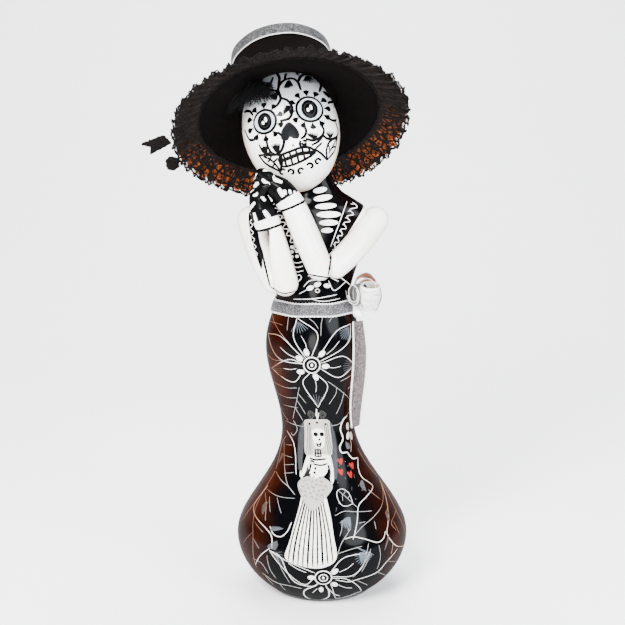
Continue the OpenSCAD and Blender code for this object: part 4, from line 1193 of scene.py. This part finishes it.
def tubeObject(name, points, radius, closed=False, sides=6, scale=mm):
    count = len(points)
    verts, faces = [], []
    side = None
    for i in range(count):
        before = Vector(points[(i - 1) % count if closed else max(i - 1, 0)])
        after = Vector(points[(i + 1) % count if closed else min(i + 1, count - 1)])
        ahead = (after - before).normalized()
        side = ahead.orthogonal() if side is None else side - ahead * side.dot(ahead)
        side.normalize()
        other = ahead.cross(side)
        thick = radius(i / (count - 1)) if callable(radius) else radius
        verts += [Vector(points[i]) + side * thick * math.cos(2 * math.pi * k / sides)
                  + other * thick * math.sin(2 * math.pi * k / sides) for k in range(sides)]
    for i in range(count if closed else count - 1):
        a, b = i * sides, ((i + 1) % count) * sides
        faces += [(a + k, a + (k + 1) % sides, b + (k + 1) % sides, b + k) for k in range(sides)]
    if not closed:
        faces += [tuple(range(sides - 1, -1, -1)), tuple((count - 1) * sides + k for k in range(sides))]
    return verts, faces


def tubesObject(name, tubes, look, body, slotName, closed=False, sides=6):
    # many tubes as one piece: each is its points and its radius
    verts, faces = [], []
    for points, radius in tubes:
        v, f = tubeObject(name, points, radius, closed, sides)
        faces += [tuple(i + len(verts) for i in face) for face in f]
        verts += v
    obj = meshObject(name, verts, faces)
    setMaterial(obj, finish[look])
    return standFor(obj, body, [], slotName)


# ---------- the hat ----------
hat = {"rim": 62.05, "laceOut": 20, "drop": 11, "felt": 1.6, "crown": 36.6, "top": 34.5, "rise": 11, "height": 44,
       "bandLow": 42.5, "bandHigh": 52.5}


def laceSpot(t, a, lift=0.0, trim=0.0):
    # t runs from the rim to the edge, a is the bearing
    gather = 1.25 * math.sin(57 * a + 2.2 * math.sin(5 * a)) + 0.4 * math.sin(133 * a)
    scallop = 1.6 * (0.5 - 0.5 * math.cos(38 * a + math.sin(7 * a))) + 0.8 * math.sin(3 * a + 1) ** 2
    r = hat["rim"] + (hat["laceOut"] - trim - scallop * t) * t
    z = -hat["drop"] * t - 1.4 * (1 - t) + gather * t ** 0.8 + lift
    return hatFrame @ Vector((r * math.cos(a), r * math.sin(a), z))


def ringRows(spot, count, lanes):
    return [[spot(k / lanes, 2 * math.pi * i / count) for k in range(lanes + 1)] for i in range(count)]


laceLength = 2 * math.pi * 72 * 1.35
lace = gridObject("laceRuffle", ringRows(laceSpot, 480, 8), True, lambda i, k: (laceLength * i / 480, 20 * k / 8))
setMaterial(lace, finish["blackLace"])
standFor(lace, hatBody, ["lace_ruffle"], "black_lace")
lining = gridObject("laceLining", ringRows(lambda t, a: laceSpot(t, a, 1.0, 1.6), 480, 6), True,
                    lambda i, k: (laceLength * i / 480, 18.5 * k / 6))
setMaterial(lining, finish["rustLining"])
standFor(lining, hatBody, ["lace_lining"], "rust_ribbon")
frill = []
for i in range(960):
    a = 2 * math.pi * i / 960
    spot = laceSpot(1, a)
    jitter = noise.noise_vector(spot * 0.9) * 1.3
    frill.append(spot + jitter + hatFrame.to_3x3() @ Vector((0, 0, 0.6 * math.sin(i * 1.9))))
seamEdge = [laceSpot(0, 2 * math.pi * i / 480) + noise.noise_vector(laceSpot(0, 2 * math.pi * i / 480) * 0.6) * 0.8
            + hatFrame.to_3x3() @ Vector((0, 0, 0.4 * math.sin(i * 2.3))) for i in range(480)]
edge = tubesObject("laceEdge", [(frill, lambda t: 0.55 + 0.25 * math.sin(t * 2900)),
                                (seamEdge, lambda t: 0.8 + 0.3 * math.sin(t * 1500))], "blackYarn", hatBody, "black_lace", True)


def ragged(name, node, amount, size, look, slotName, voxel=0.5):
    # a CAD solid with a rough, crumpled surface
    obj = pulpSkin(name, [node], voxel, 2)
    normals = [v.normal.copy() for v in obj.data.vertices]
    for v, normal in zip(obj.data.vertices, normals):
        v.co += normal * noise.turbulence(v.co / mm * size, 3, False) * amount * mm
    setMaterial(obj, finish[look])
    return standFor(obj, hatBody, [node], slotName)


ragged("lacePuff", "lace_puff", -1.0, 0.5, "blackYarn", "black_lace")
ragged("laceEnd", "lace_end", 0.7, 0.6, "blackYarn", "black_lace", 0.4)


def bandSpot(z, a):
    share = (z - hat["rise"]) / (hat["height"] - 2)
    r = hat["crown"] + (hat["top"] - hat["crown"]) * share + 0.45 + 0.12 * math.sin(9 * a)
    return Vector((r * math.cos(a), r * math.sin(a), z))


bandMiddle = [hatFrame @ bandSpot((hat["bandLow"] + hat["bandHigh"]) / 2, 2 * math.pi * i / 160) for i in range(160)]
up = (hatFrame.to_3x3() @ Vector((0, 0, 1))).normalized()
band, length = stripObject("hatBand", bandMiddle, [up] * 160, 10, "bandRibbon", hatBody, ["hat_band"], "silver_ribbon",
                           True, 8, -0.35)
picots = []
for z in (hat["bandLow"] + 0.2, hat["bandHigh"] - 0.2):
    ring = []
    for i in range(640):
        a = 2 * math.pi * i / 640
        ring.append(hatFrame @ (bandSpot(z + 0.35 * math.sin(i * 1.3), a) * 1.0))
    picots.append((ring, 0.3))
edging = tubesObject("hatBandEdge", picots, "whiteCord", hatBody, "silver_ribbon", True, 5)

# a lock of hair: fine curled strands that spread from under the hat over the forehead
strands = []
for k in range(340):
    a, b, c = (random.random() for _ in range(3))
    root = Vector((-17 + 11 * a - 7 * b, -24 - 4 * c, 27 + 4 * b))
    way = Vector((-0.9 + 1.3 * a, -0.25 - 0.25 * c, -0.75 - 0.3 * b))
    curl = random.uniform(0, 6.28)
    size = random.uniform(0.6, 1.9)
    reach = random.uniform(9, 19)
    points = []
    for i in range(9):
        t = i / 8
        spot = root + way * reach * t + Vector((size * math.cos(curl + 7 * t), -1.5 * math.sin(3.14 * t),
                                                size * math.sin(curl + 7 * t)))
        hit, normal, _, far = headTree.find_nearest(headFrame @ spot)
        world = headFrame @ spot
        if (world - hit).dot(normal) < 0.4:
            world = hit + normal * random.uniform(0.4, 1.8)
        points.append(world)
    strands.append((points, lambda t: 0.34 * (1.15 - t)))
hair = tubesObject("forelockHair", strands, "hairYarn", figureBody, "black_fibre", False, 4)
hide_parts("forelock")
print("hat dressed")


# ---------- ribbons at the waist ----------
sashMiddle, sashUp = [], []
for i in range(160):
    a = 2 * math.pi * i / 160
    spot = Vector((-6.4 + 28.3 * math.cos(a), 24.7 * math.sin(a), 206.4))
    sashMiddle.append(spot + Vector((0, 0, 0.25 * math.sin(7 * a))))
    lean = Vector((-math.cos(a), -0.86 * math.sin(a), 0)) * 0.37
    sashUp.append(Vector((0, 0, 1)) + lean)
sash, length = stripObject("waistSash", sashMiddle, sashUp, 9.2, "silverRibbon", figureBody, ["waist_sash"], "silver_ribbon",
                           True, 8, -0.5)
sashEdges = []
for s in (-1, 1):
    sashEdges.append(([sashMiddle[i % 160].lerp(sashMiddle[(i + 1) % 160], 0.5 * (j % 2)) + sashUp[i].normalized() * 4.5 * s
                       + Vector((0, 0, 0.3 * math.sin((2 * i + j) * 1.4))) for i in range(160) for j in range(2)], 0.3))
edging = tubesObject("waistSashEdge", sashEdges, "whiteCord", figureBody, "silver_ribbon", True, 5)

# the tail follows its CAD solid
tailWay = {"out": Vector((0.53, -0.85, 0)), "turns": (52, 6, 40), "sway": 1.8}
levels = {}
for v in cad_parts["ribbon_tail"].data.vertices:
    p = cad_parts["ribbon_tail"].matrix_world @ v.co / mm
    levels.setdefault(round(p.z * 2) / 2, []).append(p)
tailMiddle = []
for z in sorted(levels):
    spots = levels[z]
    middle = sum(spots, Vector()) / len(spots)
    tailMiddle.append(middle)
fine, tailAcross = [], []
steps = (len(tailMiddle) - 1) * 5
for k in range(steps + 1):
    i, t = min(k // 5, len(tailMiddle) - 2), k / steps
    spot = tailMiddle[i].lerp(tailMiddle[i + 1], k / 5 - i)
    low, mid, high = tailWay["turns"]
    turn = math.radians(mid + (low - mid) * max(1 - 1.8 * t, 0) ** 1.5 + (high - mid) * max(1 - 3 * (1 - t), 0))
    fine.append(spot + tailWay["out"] * tailWay["sway"] * math.sin(math.pi * t) ** 0.8)
    tailAcross.append(Vector((math.cos(turn), math.sin(turn), 0)))
tail, length = stripObject("ribbonTail", fine, tailAcross, 10, "tailRibbon", tailBody, ["ribbon_tail"],
                           "silver_ribbon", False, 8, 0.5)
tailEdges = []
for s in (-1, 1):
    tailEdges.append(([fine[i].lerp(fine[i + 1], j / 3) + tailAcross[i].lerp(tailAcross[i + 1], j / 3)
                       * (4.85 * s + 0.35 * math.sin((3 * i + j) * 1.6))
                       for i in range(len(fine) - 1) for j in range(3)], 0.45))
edging = tubesObject("ribbonTailEdge", tailEdges, "whiteCord", tailBody, "silver_ribbon", False, 5)


def loopPiece(name, centre, axis, a, b, width, turns, look, nodes, roll=0.0, bulge=0.12, shrink=0.3, start=0.0):
    # a rolled loop of ribbon: an oval spiral about its axis, with half sizes a and b
    axis = Vector(axis).normalized()
    side = axis.cross(Vector((0, 0, 1)))
    side = (side if side.length > 0.3 else Vector((1, 0, 0))).normalized()
    side = Matrix.Rotation(math.radians(roll), 3, axis) @ side
    upWay = axis.cross(side)
    count, lanes = int(48 * turns), 6
    rows, run, last = [], [0.0], None
    for i in range(count + 1):
        t = i / count
        angle = 2 * math.pi * turns * t + start
        size = 1 - shrink * t
        row = []
        for k in range(lanes + 1):
            w = k / lanes - 0.5
            grow = size * (1 + bulge * (1 - 4 * w * w)) * (1 + 0.03 * math.sin(5 * angle + 9 * w))
            row.append(Vector(centre) + axis * width * w + (side * a * math.cos(angle) + upWay * b * math.sin(angle)) * grow)
        if last is not None:
            run.append(run[-1] + (row[lanes // 2] - last).length)
        last = row[lanes // 2]
        rows.append(row)
    obj = gridObject(name, rows, False, lambda i, k: (run[i], 10 * k / lanes))
    setMaterial(obj, finish[look])
    standFor(obj, figureBody, nodes, "silver_ribbon" if look != "rustRibbon" else "rust_ribbon")
    rims = tubesObject(name + "Edge", [([row[0] for row in rows], 0.3), ([row[-1] for row in rows], 0.3)], "whiteCord",
                       figureBody, "silver_ribbon", False, 5)
    return obj


bowLoops = [
    {"name": "bowLoopFront", "centre": (22.6, -16.5, 216), "axis": (-0.35, -0.9, 0.18), "a": 4.3, "b": 7.4, "width": 9, "turns": 1.6,
     "look": "silverBow", "nodes": ["bow_loop_front"], "roll": 12, "shrink": 0.35},
    {"name": "bowLoopSide", "centre": (31.8, -13.2, 213.2), "axis": (0.12, -0.3, 1), "a": 7, "b": 5.6, "width": 19, "turns": 1.2,
     "look": "bowRibbon", "nodes": ["bow_loop_side"], "bulge": 0.3, "shrink": 0.1, "start": 2.6},
    {"name": "bowLoopTop", "centre": (29.6, -6, 220), "axis": (0.1, -0.8, 0.6), "a": 7.6, "b": 8.6, "width": 8, "turns": 1.0,
     "look": "rustRibbon", "nodes": ["bow_loop_top"], "bulge": 0.05, "shrink": 0.05},
    {"name": "bowLoopAmber", "centre": (30.2, -10, 218.4), "axis": (0.1, -0.75, 0.65), "a": 6.0, "b": 6.4, "width": 8, "turns": 1.0,
     "look": "amberRibbon", "nodes": [], "bulge": 0.05, "shrink": 0.05},
    {"name": "bowLoopMiddle", "centre": (27, -13.5, 214.5), "axis": (0.55, -0.75, 0.2), "a": 4.4, "b": 8.4, "width": 8, "turns": 1.0,
     "look": "silverBow", "nodes": [], "bulge": 0.1, "shrink": 0.05},
]
for row in bowLoops:
    loopPiece(**row)
print("ribbons tied")
cadFinish = {
    "base_pad": "baseFelt", "base_disc": "pine", "ballast": "plaster", "spine_post": "pine", "waist_plate": "card",
    "arm_wire_left": "steelWire", "arm_wire_right": "steelWire", "brim_wire": "steelWire", "neck": "blackPaint",
    "hat_brim": "feltDark", "hat_crown": "feltDark", "hat_pad": "feltDark", "hat_band": "silverRibbon",
    "lace_ruffle": "blackLace", "lace_lining": "rustLining", "lace_puff": "blackYarn", "lace_end": "blackYarn",
    "forelock": "blackYarn", "waist_sash": "silverRibbon", "bow_knot": "rustRibbon", "bow_loop_front": "bowRibbon",
    "bow_loop_side": "bowRibbon", "bow_loop_top": "bowRibbon", "ribbon_tail": "tailRibbon",
}
for node, name in cadFinish.items():
    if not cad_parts[node].hide_render:
        setMaterial(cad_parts[node], finish[name])
        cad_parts[node].data.shade_smooth()

# pale floor that curves up into a backdrop
rows = [(backdrop["front"], 0.0)]
rows += [(backdrop["back"] - backdrop["bend"] * (1 - math.sin(math.radians(a))),
          backdrop["bend"] * (1 - math.cos(math.radians(a)))) for a in range(0, 91, 6)]
rows += [(backdrop["back"], backdrop["height"])]
verts = [(x, y, z) for y, z in rows for x in (-backdrop["half"], backdrop["half"])]
floor = meshObject("paleFloor", verts, [(2 * i, 2 * i + 1, 2 * i + 3, 2 * i + 2) for i in range(len(rows) - 1)], scale=1)
setMaterial(floor, makeGrained("paleCard", (0.88, 0.885, 0.9), (0.87, 0.875, 0.89), 3, (1, 1, 1), 0.9))
